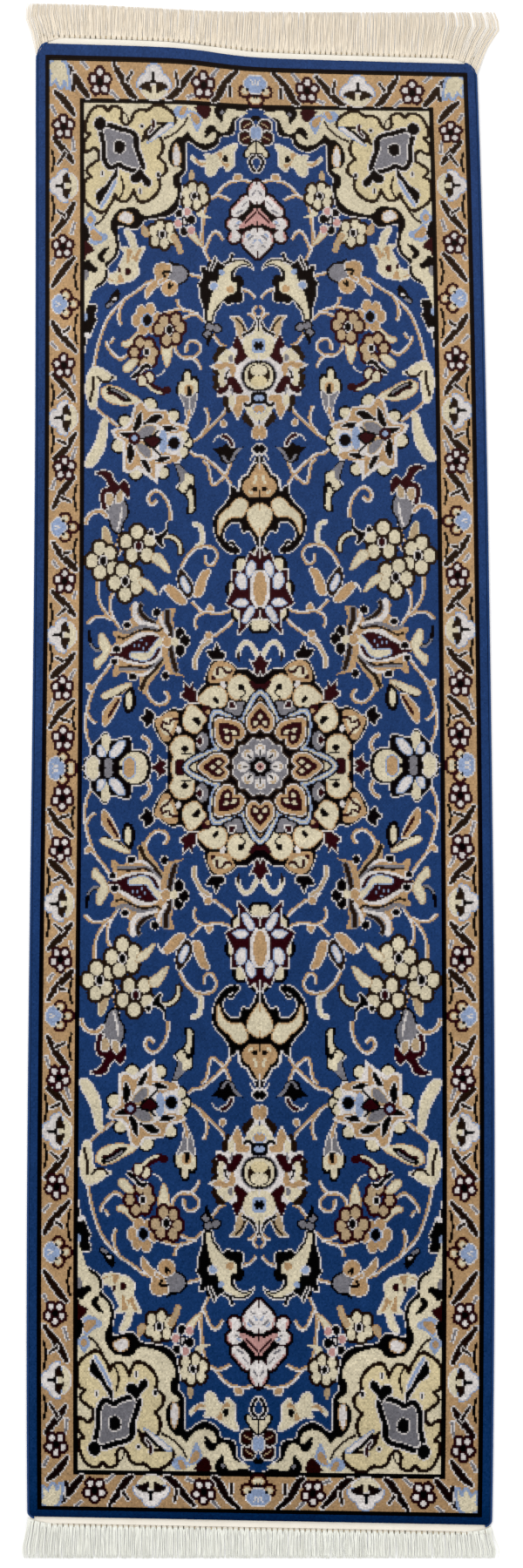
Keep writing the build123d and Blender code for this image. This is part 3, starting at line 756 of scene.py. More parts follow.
def paintCornerInner(plan):
    # brown inner scallops with warm cream inside
    plan.leaf([(110, 893), (114, 903), (124, 910), (136, 912), (148, 904), (154, 906), (164, 902),
        (168, 892), (178, 884), (186, 894), (184, 905), (194, 910), (203, 903), (210, 910), (222, 906),
        (230, 892), (232, 878), (225, 874), (233, 862), (232, 850), (222, 856), (214, 850), (213, 838),
        (222, 830), (230, 822), (224, 812), (232, 806), (234, 790), (230, 776), (220, 768), (210, 764),
        (200, 775), (193, 790), (188, 782), (178, 779), (170, 790), (166, 796), (160, 780), (150, 779),
        (138, 788), (132, 800), (134, 812), (124, 820), (126, 832), (134, 840), (128, 852), (130, 866),
        (140, 874), (150, 866), (156, 864), (150, 880), (136, 890), (120, 890)], "butter", "brown", "brown")
    plan.vine([(168, 878), (185, 880), (200, 884)], "black", 4)
    plan.leaf([(160, 826), (177, 830), (187, 836), (198, 831), (203, 842), (203, 858), (206, 880),
        (186, 876), (169, 870), (168, 855), (163, 840)], "grey", "white", "black", "black", "black", "white")
    plan.leaf([(178, 858), (184, 864), (192, 862), (193, 850), (186, 846), (180, 850)], "black", "white")
    plan.dot(213, 888, 8, "black", "white", ry=9)
    plan.leaf([(144, 799), (143, 806), (150, 815), (158, 824), (165, 818), (171, 812), (168, 804),
        (160, 805), (156, 808), (152, 800)], "black", "white")
    for x, y in ((155, 885), (133, 816), (158, 792), (210, 817)):
        plan.dot(x, y, 1.8, "black", "white", ry=3.4)
    plan.vine([(139, 893), (139, 884), (144, 876)], "maroon", 3, "white")
    plan.leaf([(112, 888), (122, 887), (136, 874), (148, 862), (140, 866), (126, 876)], "white", "sky")
    plan.vine([(122, 889), (134, 880), (146, 866)], "black", 4)
    plan.leaf([(190, 824), (198, 812), (206, 800), (218, 790), (216, 772), (208, 780), (198, 798),
        (190, 812)], "black", "white")
    plan.vine([(192, 806), (200, 790), (212, 770)], "sky", 4, "white")
    plan.vine([(184, 812), (181, 798), (185, 784), (190, 782)], "brown", 3)
    plan.vine([(178, 903), (172, 890)], "brown", 2)


def paintCornerDarts(plan):
    # maroon, blue and dark touches along the outer edge of the corner piece
    plan.leaf([(36, 914), (42, 905), (44, 893), (48, 897), (54, 906), (54, 914)], "black")
    plan.dot(44, 908, 2.5, "grey")
    plan.leaf([(60, 914), (63, 900), (72, 899), (80, 909), (82, 914)], "maroon")
    plan.leaf([(72, 898), (80, 906), (90, 908), (86, 894), (79, 878), (73, 890)], "sky")
    plan.leaf([(74, 898), (82, 904), (88, 906), (84, 894), (78, 888)], "camel")
    plan.leaf([(92, 912), (108, 912), (110, 903), (100, 896), (92, 902)], "sky")
    plan.leaf([(93, 912), (100, 912), (102, 902), (96, 902)], "camel")
    plan.vine([(92, 897), (100, 884), (112, 874), (124, 868)], "brown", 3)
    plan.vine([(200, 772), (208, 756), (220, 744)], "brown", 3)
    plan.leaf([(226, 764), (232, 758), (236, 748), (226, 742), (219, 752)], "sky")
    plan.dot(227, 752, 3.5, "camel", ry=6)
    plan.leaf([(202, 728), (214, 718), (226, 718), (230, 730), (224, 742), (216, 736)], "sky")
    plan.leaf([(210, 724), (222, 722), (228, 732), (222, 738)], "camel")
    plan.leaf([(236, 745), (230, 740), (228, 726), (236, 722)], "black", "white")
    plan.leaf([(236, 720), (228, 718), (222, 708), (232, 702), (236, 690)], "maroon")
    plan.leaf([(216, 682), (224, 690), (230, 696), (236, 690), (236, 680), (228, 680), (222, 677)], "black")
    plan.dot(233, 675, 3.5, "grey", ry=7)
    plan.leaf([(200, 712), (208, 712), (216, 704), (216, 695), (208, 692), (208, 702)], "black")
    plan.leaf([(60, 888), (66, 880), (68, 872), (64, 872), (58, 880)], "black")


def paintMedallionGround(plan, outline):
    plan.leaf(outline, "black", "white", sharp=False)


def paintMedallionScrolls(plan):
    # rolled cream lobes
    plan.leaf([(-3, 92), (4, 96), (10, 108), (16, 117), (27, 120), (37, 114), (40, 103), (37, 93),
        (30, 88), (23, 89), (17, 80), (4, 84)], "cream", "camel")
    plan.dot(23, 104, 4.5, "black", ry=4.5)
    plan.vine([(19, 102), (18, 95), (24, 90)], "black", 2.4)
    plan.leaf([(43, 96), (50, 104), (62, 105), (70, 99), (79, 89), (74, 82), (66, 80), (60, 72),
        (52, 70), (52, 77), (46, 80), (42, 88)], "cream", "camel")
    plan.leaf([(52, 86), (58, 92), (60, 88), (56, 82)], "black")
    plan.leaf([(70, 62), (76, 70), (84, 78), (92, 80), (96, 72), (100, 62), (98, 52), (90, 45),
        (80, 45), (75, 54)], "cream", "camel")
    plan.leaf([(77, 58), (80, 64), (88, 62), (84, 56), (79, 53)], "black")
    plan.leaf([(84, 6), (86, 20), (88, 32), (96, 38), (106, 38), (113, 31), (117, 22), (112, 12),
        (114, -4), (84, -4)], "cream", "camel")
    plan.dot(98, 22, 4.5, "black", ry=5)
    plan.vine([(88, 16), (96, 15), (103, 14)], "black", 2)
    plan.leaf([(96, -2), (98, 6), (104, 9), (110, 6), (110, -4)], "maroon")
    plan.leaf([(2, 108), (8, 113), (13, 112), (10, 105), (4, 100), (-3, 99), (-3, 108)], "maroon")


def paintMedallionHearts(plan):
    plan.leaf([(31, 130), (40, 137), (52, 140), (61, 135), (66, 124), (66, 112), (56, 110), (46, 112),
        (40, 112), (35, 120)], "camel")
    plan.leaf([(36, 128), (46, 133), (58, 130), (60, 118), (50, 116), (42, 120)], "cream")
    plan.vine([(36, 126), (42, 124), (48, 131), (54, 130), (54, 121)], "maroon", 3.4)
    plan.dot(60, 117, 3.4, "maroon", ry=3)
    plan.leaf([(45, 112), (50, 113), (50, 108), (46, 103), (43, 106)], "white")
    plan.leaf([(106, 66), (111, 72), (119, 72), (129, 66), (138, 60), (134, 48), (128, 34), (121, 32),
        (113, 42), (109, 52)], "camel")
    plan.leaf([(112, 62), (122, 64), (130, 56), (128, 44), (120, 40), (114, 50)], "cream")
    plan.vine([(108, 62), (116, 61), (119, 55), (127, 58), (128, 50), (121, 46), (117, 40)], "maroon", 3.4)
    plan.leaf([(103, 50), (107, 52), (110, 47), (106, 43), (102, 46)], "white")
    plan.leaf([(59, 73), (66, 80), (74, 78), (75, 69), (68, 64), (61, 67)], "maroon")
    plan.dot(67, 71, 3, "camel")


def paintMedallionStar(plan):
    # light blue strap round the middle
    strap = [(-3, 98), (6, 90), (14, 74), (20, 61), (26, 58), (36, 63), (48, 70), (58, 71), (62, 60),
        (62, 44), (58, 30), (54, 21), (64, 17), (78, 12), (92, 4), (97, -3)]
    plan.vine(strap, "black", 11)
    plan.vine(strap, "sky", 6.5)
    plan.vine(strap, "cream", 2.2)
    plan.leaf([(19, 84), (27, 84), (38, 80), (46, 74), (36, 69), (27, 65), (21, 72)], "grey", "black")
    plan.leaf([(30, 76), (34, 84), (38, 84), (38, 77)], "maroon", "white")
    plan.leaf([(66, 28), (68, 40), (76, 44), (82, 36), (82, 24), (74, 18)], "grey", "black")
    plan.leaf([(74, 32), (77, 38), (82, 32), (78, 26)], "maroon", "white")


def paintHeart(plan, x, y, turn, size=1.0):
    # pointed heart: white and camel rim, maroon scroll, point away from the middle
    c, s = math.cos(turn), math.sin(turn)
    def at(points):
        return [(x + size * (u * c - v * s), y + size * (u * s + v * c)) for u, v in points]
    plan.leaf(at([(24, 0), (12, -12), (0, -19), (-13, -17), (-18, -8), (-12, 0), (-18, 8), (-13, 17),
        (0, 19), (12, 12)]), "camel", "white", "brown")
    plan.leaf(at([(17, 0), (8, -9), (-2, -14), (-11, -12), (-13, -6), (-8, 0), (-13, 6), (-11, 12),
        (-2, 14), (8, 9)]), "maroon")
    plan.leaf(at([(-9, -8), (-3, -9), (-1, -5), (-6, -3)]), "cream")
    plan.leaf(at([(-9, 8), (-3, 9), (-1, 5), (-6, 3)]), "cream")
    plan.leaf(at([(3, -3), (8, 0), (3, 3), (0, 0)]), "cream")


def paintMedallionHeartRing(plan):
    paintHeart(plan, 40, 43, 0.83)
    paintHeart(plan, -2.5, 60, math.pi / 2, 0.92)
    paintHeart(plan, 57, -3, 0.0, 0.92)


def paintMedallionCentre(plan):
    x0, y0 = -2.5, -4.0
    # grey ground with a ragged white rim
    plan.leaf([(x0 + r * math.cos(a), y0 + 1.06 * r * math.sin(a)) for a, r in
            [(k * math.pi / 12, 37 if k % 2 else 33) for k in range(24)]], "grey", "white", "brown")
    for k in range(8):
        a = k * math.pi / 4
        plan.dot(x0 + 23 * math.cos(a), y0 + 24 * math.sin(a), 8, "white", ry=8)
    for k in range(8):
        a = k * math.pi / 4
        plan.dot(x0 + 24.5 * math.cos(a), y0 + 26 * math.sin(a), 4.6, "tan", ry=5)
        plan.dot(x0 + 23 * math.cos(a), y0 + 24 * math.sin(a), 3.4, "white", ry=4)
        plan.vine([(x0 + 17 * math.cos(a), y0 + 18 * math.sin(a)),
            (x0 + 22 * math.cos(a), y0 + 23 * math.sin(a))], "black", 2.4)
    plan.leaf([(x0 + r * math.cos(a), y0 + r * math.sin(a)) for a, r in
            [(k * math.pi / 8, 16 if k % 2 else 12.5) for k in range(16)]], "black")
    plan.dot(x0, y0, 7.5, "white", ry=8)
    plan.dot(x0, y0, 5.5, "pink", ry=6.5)
    plan.dot(x0, y0, 3, "maroon", ry=3.4)


def paintMedallionSpikes(plan):
    # dark leafy finials standing round the medallion
    plan.leaf([(48, 141), (44, 150), (50, 153), (53, 160), (56, 164), (60, 154), (68, 155), (66, 147),
        (60, 142)], "black", "white")
    plan.leaf([(82, 84), (82, 98), (87, 102), (88, 110), (92, 104), (97, 110), (100, 112), (98, 101),
        (104, 94), (96, 88), (90, 84)], "maroon", "white")
    plan.leaf([(138, 60), (140, 70), (150, 76), (152, 68), (158, 64), (152, 58), (150, 52), (144, 56)],
        "black", "white")
    plan.leaf([(-3, 118), (4, 122), (6, 132), (11, 140), (6, 138), (0, 146), (-3, 150)], "maroon", "white")
    plan.leaf([(122, -3), (124, 4), (130, 8), (134, 12), (134, 4), (142, -3)], "maroon", "white")

cornerOutline = [(10, 913), (18, 904), (26, 896), (27, 884), (30, 877), (40, 874), (47, 872), (50, 862),
    (60, 854), (70, 852), (80, 857), (90, 864), (95, 858),
                 (94, 840), (95, 822), (102, 811), (101, 795), (104, 778), (107, 766), (114, 759),
                 (124, 755), (138, 753), (152, 750), (158, 742), (166, 738),
                 (178, 741), (188, 742), (190, 732), (187, 716), (190, 702), (198, 692), (204, 684),
                 (203, 672), (210, 662), (222, 655), (232, 645), (240, 634),
                 (246, 640), (246, 922), (10, 922)]
medallionOutline = [(-8, 118), (0, 118), (5, 121), (12, 127), (20, 129), (28, 129), (33, 134),
    (42, 139), (52, 141), (61, 139), (66, 130), (70, 118), (70, 110),
                    (75, 106), (80, 98), (81, 90), (79, 82), (88, 83), (96, 81), (101, 74), (106, 74),
                    (113, 76), (122, 72), (130, 66), (139, 61), (138, 50),
                    (133, 40), (128, 32), (122, 26), (120, 14), (121, 0), (121, -10), (-8, -10)]


def paintField(plan):
    paintFieldVines(plan)
    paintPairedLeaf(plan)
    motifs = (
        paintCreamRosettes, paintPinkFlower, paintBudFlower, paintGreyRosette, paintSprigs,
        paintRoundFlowers, paintCurledBud, paintArchedBud, paintGreyBlossom, paintHangingBud,
        paintLongBud, paintPairLeafCream, paintDarkSprayBud, paintTulip, paintLeafPair,
        paintPalmette, paintSideLotus, paintSideFlower, paintAxisFlower, paintAxisScroll,
        paintAxisPalmette, paintSilkFlower, paintCreamLeaf, paintStemFlower, paintUpperLeaf,
        paintHookDark,
    )
    for motif in motifs:
        motif(plan)


def paintRosette(plan, x, y):
    # border rosette: white petals, each in its own dark line, round a black eye
    turns = [k * math.pi * 0.4 + 0.3 for k in range(5)]
    spots = [(10 * math.cos(a), 10.5 * math.sin(a)) for a in turns]
    paintPetals(plan, x, y, spots, 3.6, 4.2, "white", "maroon", "maroon")
    plan.dot(x, y, 4.5, "black", ry=4.8)


def turned(points, x, y, along):
    # a motif's own points placed in the side border, or turned for the end border
    if along:
        return [(x + u, y + v) for u, v in points]
    return [(x + v, y + u) for u, v in points]


def bothSides(points):
    # half an outline and its mirror image across its own axis
    return points + [(u, -v) for u, v in points[::-1] if v]


def paintBlob(plan, x, y, along, spot, ru, rv, yarn, *rings):
    turns = [k * math.pi / 5 for k in range(10)]
    ring = [(spot[0] + ru * math.cos(a), spot[1] + rv * math.sin(a)) for a in turns]
    plan.leaf(turned(ring, x, y, along), yarn, *rings)


def paintFan(plan, x, y, along=True):
    # fan flower that opens outwards: white petals in a sky rim, cream behind, dark wings between
    cup = [(-8, 17), (-16, 12), (-20, 4), (-20, -4), (-16, -12), (-8, -17), (-6, 0)]
    plan.leaf(turned(cup, x, y, along), "cream", "white")
    petals = bothSides([(-6, 20), (2, 22), (8, 17), (10, 12), (17, 9), (20, 0)])
    plan.leaf(turned(petals, x, y, along), "white", "sky")
    for side in (1, -1):
        wing = [(-5, 20), (-8, 13), (-12, 3), (-3, 4), (1, 8), (0, 15)]
        plan.leaf(turned([(u, v * side) for u, v in wing], x, y, along), "brown")
    plan.vine(turned([(-6, 12), (0, 5), (2, 0), (0, -5), (-6, -12)], x, y, along), "brown", 3.4)
    plan.vine(turned([(1, 0), (11, 0)], x, y, along), "black", 4.2)
    plan.leaf(turned([(-9, -3), (-3, -3), (-3, 3), (-9, 3)], x, y, along), "cream")


def paintDisc(plan, x, y, along=True):
    # three cream lobes and a sky petal that opens outwards from them
    lobes = ((-2, 12), (-13, 0), (-2, -12))
    for spot in lobes:
        paintBlob(plan, x, y, along, spot, 5.4, 5.4, "camel", "maroon", "maroon")
    paintBlob(plan, x, y, along, (-5, 0), 5, 7, "maroon")
    for spot in lobes:
        paintBlob(plan, x, y, along, spot, 4.0, 4.0, "cream", "camel")
    petal = bothSides([(-3, 3), (3, 9), (8, 13), (15, 8), (18, 0)])
    plan.leaf(turned(petal, x, y, along), "sky", "white")
    plan.vine(turned([(13, 3), (6, 0), (13, -3)], x, y, along), "white", 1.8)
    for spot in ((-8, 0), (1, 9), (1, -9)):
        paintBlob(plan, x, y, along, spot, 2.3, 2.3, "black")


borderStrokes = [
    [(246, 155), (258, 140), (274, 125), (281, 120)], [(274, 148), (262, 142)],
    [(247, 90), (262, 76), (270, 68), (282, 50)], [(252, 60), (266, 64)],
    [(280, 308), (268, 290), (250, 272), (246, 265)], [(253, 293), (264, 290)],
    [(281, 240), (262, 222), (246, 203)], [(272, 205), (260, 215)],
    [(247, 458), (262, 435), (280, 420)], [(275, 448), (260, 442)],
    [(248, 398), (265, 378), (280, 352)], [(254, 362), (268, 368)],
    [(283, 612), (268, 592), (246, 568)], [(256, 603), (266, 595)],
    [(282, 540), (262, 520), (248, 500)], [(274, 505), (262, 515)],
    [(249, 777), (262, 755), (283, 728)], [(275, 765), (262, 757)],
    [(249, 700), (265, 682), (283, 658)], [(281, 870), (264, 850), (250, 832)],
    [(274, 830), (262, 848)], [(248, 898), (262, 916), (279, 930)],
    [(21, 962), (38, 948), (50, 928), (58, 922)], [(33, 945), (32, 930)],
    [(80, 960), (95, 945), (110, 928), (122, 923)], [(108, 955), (104, 938)],
    [(195, 962), (182, 945), (170, 928), (162, 922)], [(168, 953), (176, 942)],
    [(258, 958), (242, 938), (228, 922)], [(250, 950), (251, 930)],
]
borderLeaves = [
    [(246, 131), (254, 117)], [(275, 92), (281, 72)], [(272, 272), (279, 280)], [(246, 238), (249, 228)],
    [(247, 437), (253, 420)], [(276, 395), (281, 380)], [(274, 572), (283, 582)], [(252, 538), (249, 525)],
    [(249, 748), (254, 732)], [(276, 702), (282, 690)], [(252, 868), (250, 850)], [(276, 900), (283, 912)],
    [(48, 962), (58, 952)], [(80, 930), (92, 925)], [(188, 922), (198, 930)], [(230, 955), (238, 962)],
]


def paintBorder(plan):
    # camel border between two dark guard stripes
    for run in borderStrokes:
        plan.blade(run, "brown", 9.0, "white")
    for run in borderLeaves:
        plan.blade(run, "grey", 6.4, "white")
    for y0, y1 in ((50, 78), (278, 310), (350, 385), (580, 620), (655, 690)):
        plan.vine([(246, y0), (249, (y0 + y1) / 2), (246, y1)], "black", 3.6)
    for y0, y1 in ((130, 165), (190, 222), (430, 465), (495, 525), (750, 785), (820, 850)):
        plan.vine([(282, y0), (279, (y0 + y1) / 2), (282, y1)], "black", 3.6)
    for y in (178, 478, 800):
        paintFan(plan, 265, y)
    for y in (0, 327, 635):
        paintDisc(plan, 264, y)
    paintFan(plan, 138, 941, along=False)
    paintDisc(plan, 0, 940, along=False)
    for x, y in ((262, 37), (264, 105), (262, 252), (263, 408), (265, 550), (266, 714), (265, 883),
            (69, 941), (213, 941)):
        paintRosette(plan, x, y)
    star = [(258, 934), (264, 944), (270, 934), (276, 944), (284, 938), (282, 950), (286, 958),
        (276, 962), (262, 958)]
    plan.leaf(star, "cream", "sky", "sky")


def paintFrames(plan):
    # everything outside the field, from the border outwards
    far = 2000
    stripes = ((fieldSide - 1.0, fieldEnd - 1.0, "black"), (innerGuardSide, innerGuardEnd, "camel"))
    for side, end, yarn in stripes:
        plan.region(yarn, side, far, -far, far)
        plan.region(yarn, -far, far, end, far)
    paintBorder(plan)
    stripes = ((borderLineSide - 1.5, borderLineEnd - 1.5, "black"), (guardSide, guardEnd, "blue"))
    for side, end, yarn in stripes:
        plan.region(yarn, side, far, -far, far)
        plan.region(yarn, -far, far, end, far)


# the whole design, and which piece of pile each knot belongs to
plan = KnotPlan()
paintField(plan)
paintCornerGround(plan, cornerOutline)
paintCornerInner(plan)
paintCornerDarts(plan)
paintMedallionSpikes(plan)
paintMedallionGround(plan, medallionOutline)
paintMedallionScrolls(plan)
paintMedallionHearts(plan)
paintMedallionStar(plan)
paintMedallionHeartRing(plan)
paintMedallionCentre(plan)
paintFrames(plan)
design = plan.whole()
knotAcross = (np.arange(rug["columns"]) - rug["columns"] // 2) * knotX
knotAlong = (np.arange(rug["rows"]) - rug["rows"] // 2) * knotY
print("design drawn:", design.shape)


def areaOf(outline, grow):
    # the knots of one quarter inside an outline, mirrored over the rug
    line = plan.curve(plan.onCloth(outline), True)
    d, place = plan.distance(line, True, 6)
    kept = plan.knots.copy()
    plan.knots[:] = 0
    plan.knots[place][d < grow] = 1
    inside = plan.whole() == 1
    plan.knots[:] = kept
    return inside


def mendDiagonals(zones):
    # no piece may touch itself at a corner only
    for _ in range(4):
        a, b, c, d = zones[:-1, :-1], zones[:-1, 1:], zones[1:, :-1], zones[1:, 1:]
        falling = (a == d) & (b != a) & (c != a)
        c[falling] = a[falling]
        rising = (b == c) & (a != b) & (d != b)
        a[rising] = b[rising]
    return zones


pileNodes = [
    "pile_band_left", "pile_band_right", "pile_band_top", "pile_band_bottom", "pile_outer_guard",
    "pile_border_left", "pile_border_right", "pile_border_top", "pile_border_bottom", "pile_inner_guard",
    "pile_corner_top_left", "pile_corner_top_right", "pile_corner_bottom_left", "pile_corner_bottom_right",
    "pile_field_upper", "pile_field_lower", "pile_medallion",
]
slotOf = {"band": "blue_wool", "field": "blue_wool", "outer": "black_wool", "inner": "black_wool",
          "border": "camel_wool", "corner": "cream_wool", "medallion": "medallion_wool"}


def zonesOfPile():
    gx, gy = np.meshgrid(knotAcross, knotAlong)
    zones = np.full(gx.shape, -1)

    def mark(where, name):
        zones[where] = pileNodes.index(name)

    mark(gy >= 0, "pile_field_upper")
    mark(gy < 0, "pile_field_lower")
    corner = areaOf(cornerOutline, 2.0)
    for vertical, sy in (("top", 1), ("bottom", -1)):
        for side, sx in (("left", -1), ("right", 1)):
            mark(corner & (gx * sx > 0) & (gy * sy > 0), f"pile_corner_{vertical}_{side}")
    mark(areaOf(medallionOutline, 2.0), "pile_medallion")
    mark((np.abs(gx) >= fieldSide) | (np.abs(gy) >= fieldEnd), "pile_inner_guard")
    frames = (
        ("pile_border", innerGuardSide, innerGuardEnd, True),
        ("pile_outer_guard", borderLineSide, borderLineEnd, False),
        ("pile_band", guardSide, guardEnd, True),
    )
    for name, side, end, parted in frames:
        if not parted:
            mark((np.abs(gx) >= side) | (np.abs(gy) >= end), name)
            continue
        mark((gx <= -side), name + "_left")
        mark((gx >= side), name + "_right")
        mark((gy >= end), name + "_top")
        mark((gy <= -end), name + "_bottom")
    return mendDiagonals(zones)


def deselectAll():
    if bpy.context.object and bpy.context.object.mode != "OBJECT":
        bpy.ops.object.mode_set(mode="OBJECT")
    bpy.ops.object.select_all(action="DESELECT")


def splitStrips(mask):
    # a frame of pile is four strips, the end ones running over the full width
    rows, columns = np.where(mask.any(1))[0], np.where(mask.any(0))[0]
    thick = np.where(~mask[mask.shape[0] // 2, columns[0]:])[0][0]
    deep = np.where(~mask[rows[0]:, mask.shape[1] // 2])[0][0]
    strips = []
    for r0, r1, c0, c1 in (
        (rows[0], rows[0] + deep, columns[0], columns[-1] + 1),
        (rows[-1] + 1 - deep, rows[-1] + 1, columns[0], columns[-1] + 1),
        (rows[0] + deep, rows[-1] + 1 - deep, columns[0], columns[0] + thick),
        (rows[0] + deep, rows[-1] + 1 - deep, columns[-1] + 1 - thick, columns[-1] + 1),
    ):
        part = np.zeros_like(mask)
        part[r0:r1, c0:c1] = True
        strips.append(part)
    return strips


def vertexPlaces(mesh):
    flat = np.empty(len(mesh.vertices) * 3)
    mesh.vertices.foreach_get("co", flat)
    return flat.reshape(-1, 3)


def wovenSheet(mask, xEdges, yEdges, zFace, zBack):
    # knotted cells as one closed slab: a grid, cut to its mask, its rim extruded and closed
    rows, columns = np.where(mask.any(1))[0], np.where(mask.any(0))[0]
    r0, c0 = rows[0], columns[0]
    ny, nx = rows[-1] - r0 + 1, columns[-1] - c0 + 1
    deselectAll()
    bpy.ops.mesh.primitive_grid_add(x_subdivisions=int(nx), y_subdivisions=int(ny), size=1)
    piece = bpy.context.object
    mesh = piece.data
    co = vertexPlaces(mesh)
    column = np.rint((co[:, 0] + 0.5) * nx).astype(int)
    row = np.rint((co[:, 1] + 0.5) * ny).astype(int)
    co[:, 0], co[:, 1], co[:, 2] = xEdges[c0 + column] * mm, yEdges[r0 + row] * mm, zFace * mm
    mesh.vertices.foreach_set("co", co.ravel())
    centres = np.empty(len(mesh.polygons) * 3)
    mesh.update()
    mesh.polygons.foreach_get("center", centres)
    centres = centres.reshape(-1, 3)
    i = np.searchsorted(xEdges * mm, centres[:, 0]) - 1
    j = np.searchsorted(yEdges * mm, centres[:, 1]) - 1
    bpy.ops.object.mode_set(mode="EDIT")
    bpy.ops.mesh.select_mode(type="FACE")
    bpy.ops.mesh.select_all(action="DESELECT")
    bpy.ops.object.mode_set(mode="OBJECT")
    mesh.polygons.foreach_set("select", ~mask[j, i])
    bpy.ops.object.mode_set(mode="EDIT")
    if not mask[j, i].all():
        bpy.ops.mesh.delete(type="FACE")
    bpy.ops.mesh.select_mode(type="EDGE")
    bpy.ops.mesh.select_all(action="DESELECT")
    bpy.ops.mesh.select_non_manifold()
    bpy.ops.mesh.extrude_edges_move(TRANSFORM_OT_translate={"value": (0, 0, (zBack - zFace) * mm)})
    bpy.ops.mesh.edge_face_add()
    bpy.ops.mesh.select_all(action="SELECT")
    bpy.ops.mesh.normals_make_consistent(inside=False)
    bpy.ops.object.mode_set(mode="OBJECT")
    return piece


def roundCorner(x, y):
    # pulls the square corners of the pile onto their radius
    r = np.where(y > 0, rug["cornerTop"], rug["cornerBottom"])
    u = np.clip((np.abs(x) - (halfWidth - r)) / r, 0, None)
    v = np.clip((np.abs(y) - (halfLength - r)) / r, 0, None)
    both = (u > 0) & (v > 0)
    bentU = np.where(both, u * np.sqrt(np.maximum(0, 1 - v**2 / 2)), u)
    bentV = np.where(both, v * np.sqrt(np.maximum(0, 1 - u**2 / 2)), v)
    return np.sign(x) * np.where(u > 0, halfWidth - r + bentU * r, np.abs(x)), \
        np.sign(y) * np.where(v > 0, halfLength - r + bentV * r, np.abs(y))


def facePlaces(mesh):
    flat = np.empty(len(mesh.polygons) * 3)
    mesh.polygons.foreach_get("center", flat)
    return flat.reshape(-1, 3)


palette = np.array([yarns[n] for n in yarnNames])


def spreadAndEdgeShaded(colour):
    # cut ends spread over their neighbours; painted shade also darkens a pale knot beside darker ones, as if
    # shadowed between tufts
    padded = np.pad(colour, ((1, 1), (1, 1), (0, 0)), "edge")
    around = (padded[:-2, 1:-1] + padded[2:, 1:-1] + padded[1:-1, :-2] + padded[1:-1, 2:]) / 4
    # amount of painted shade a pale knot gets from its darker neighbours
    paintedEdgeShade = np.clip((colour - around).mean(2, keepdims=True) / 0.30, 0, 1)
    return (0.92 * colour + 0.08 * around) * (1 - 0.14 * paintedEdgeShade)


# knot colours with painted shade where pale knots meet dark ones
pileColour = spreadAndEdgeShaded(palette[design])
knotTone = 1 + 0.10 * rng.standard_normal(design.shape)  # no two knots catch the light alike
rowTone = np.convolve(rng.standard_normal(rug["rows"] + 24), np.ones(25) / 5, "valid")[:, None] * 0.022


def paintedNapShading(colour, y):
    # painted light and shade: the leaning pile is coloured paler, with a warm painted haze, at the far end
    # and darker at the near end, darkest over the last rows
    t = y / halfLength
    # painted shade along the rug: lighter towards the far end, darker towards the near end and darkest on the
    # last rows
    depth = 0.22 * t - 0.11 * t**2 - 0.35 * np.exp(-(1 + t) / 0.03)
    light = np.clip(colour.mean(1), 0, 0.6)
    # painted haze: a warm lift towards the far end, taken off towards the near end
    paintedHaze = t[:, None] * np.array([0.0060, 0.0045, 0.0030])
    return np.clip(colour * (1 + depth * (1 - 2.0 * light))[:, None] + paintedHaze, 0.0006, 0.95)


def colourFaces(mesh, fade=0.0):
    # gives each face the yarn of the knot it belongs to, with painted nap light and shade over it
    centres = facePlaces(mesh)
    i = np.clip(np.rint(centres[:, 0] / mm / knotX).astype(int) + rug["columns"] // 2, 0, rug["columns"] - 1)
    j = np.clip(np.rint(centres[:, 1] / mm / knotY).astype(int) + rug["rows"] // 2, 0, rug["rows"] - 1)
    tone = np.clip(knotTone[j, i] + rowTone[j, 0], 0.6, 1.4)[:, None]
    # painted nap light and shade laid over the knot colours
    colour = paintedNapShading(pileColour[j, i] * tone, centres[:, 1] / mm)
    colour = colour * (1 - fade) + fade * np.array([0.55, 0.50, 0.42])
    layer = mesh.attributes.new("yarn", "FLOAT_COLOR", "FACE")
    layer.data.foreach_set("color", np.hstack([colour, np.ones((len(colour), 1))]).ravel())


def layOutBake(mesh, zFace):
    # face side over most of the square, rim and back in strips below it
    layer = mesh.uv_layers.new(name="OFBake")
    for other in [u for u in mesh.uv_layers if u.name != "OFBake"]:
        mesh.uv_layers.remove(other)
    layer = mesh.uv_layers["OFBake"]
    co = vertexPlaces(mesh)
    low, high = co[:, :2].min(0), co[:, :2].max(0)
    share = (co[:, :2] - low) / (high - low)
    corner = np.empty(len(mesh.loops), int)
    mesh.loops.foreach_get("vertex_index", corner)
    counts = np.empty(len(mesh.polygons), int)
    mesh.polygons.foreach_get("loop_total", counts)
    normals = np.empty(len(mesh.polygons) * 3)
    mesh.polygons.foreach_get("normal", normals)
    flat = np.repeat(np.abs(normals.reshape(-1, 3)[:, 2]) > 0.7, counts)
    height = np.repeat(facePlaces(mesh)[:, 2], counts)
    front = flat & (np.abs(height - zFace * mm) < 0.6 * mm)
    uv = np.empty((len(corner), 2))
    uv[:, 0] = 0.01 + 0.98 * share[corner, 0]
    uv[:, 1] = np.where(front, 0.08 + 0.91 * share[corner, 1], 0.005 + 0.02 * share[corner, 1])
    rim = ~flat
    along = np.where(np.ptp(co[:, 0]) > np.ptp(co[:, 1]), share[corner, 0], share[corner, 1])
    uv[rim, 0] = 0.01 + 0.98 * along[rim]
    top = co[corner, 2] > co[:, 2].mean()
    uv[rim, 1] = np.where(top[rim], 0.055, 0.035)
    layer.data.foreach_set("uv", uv.ravel())


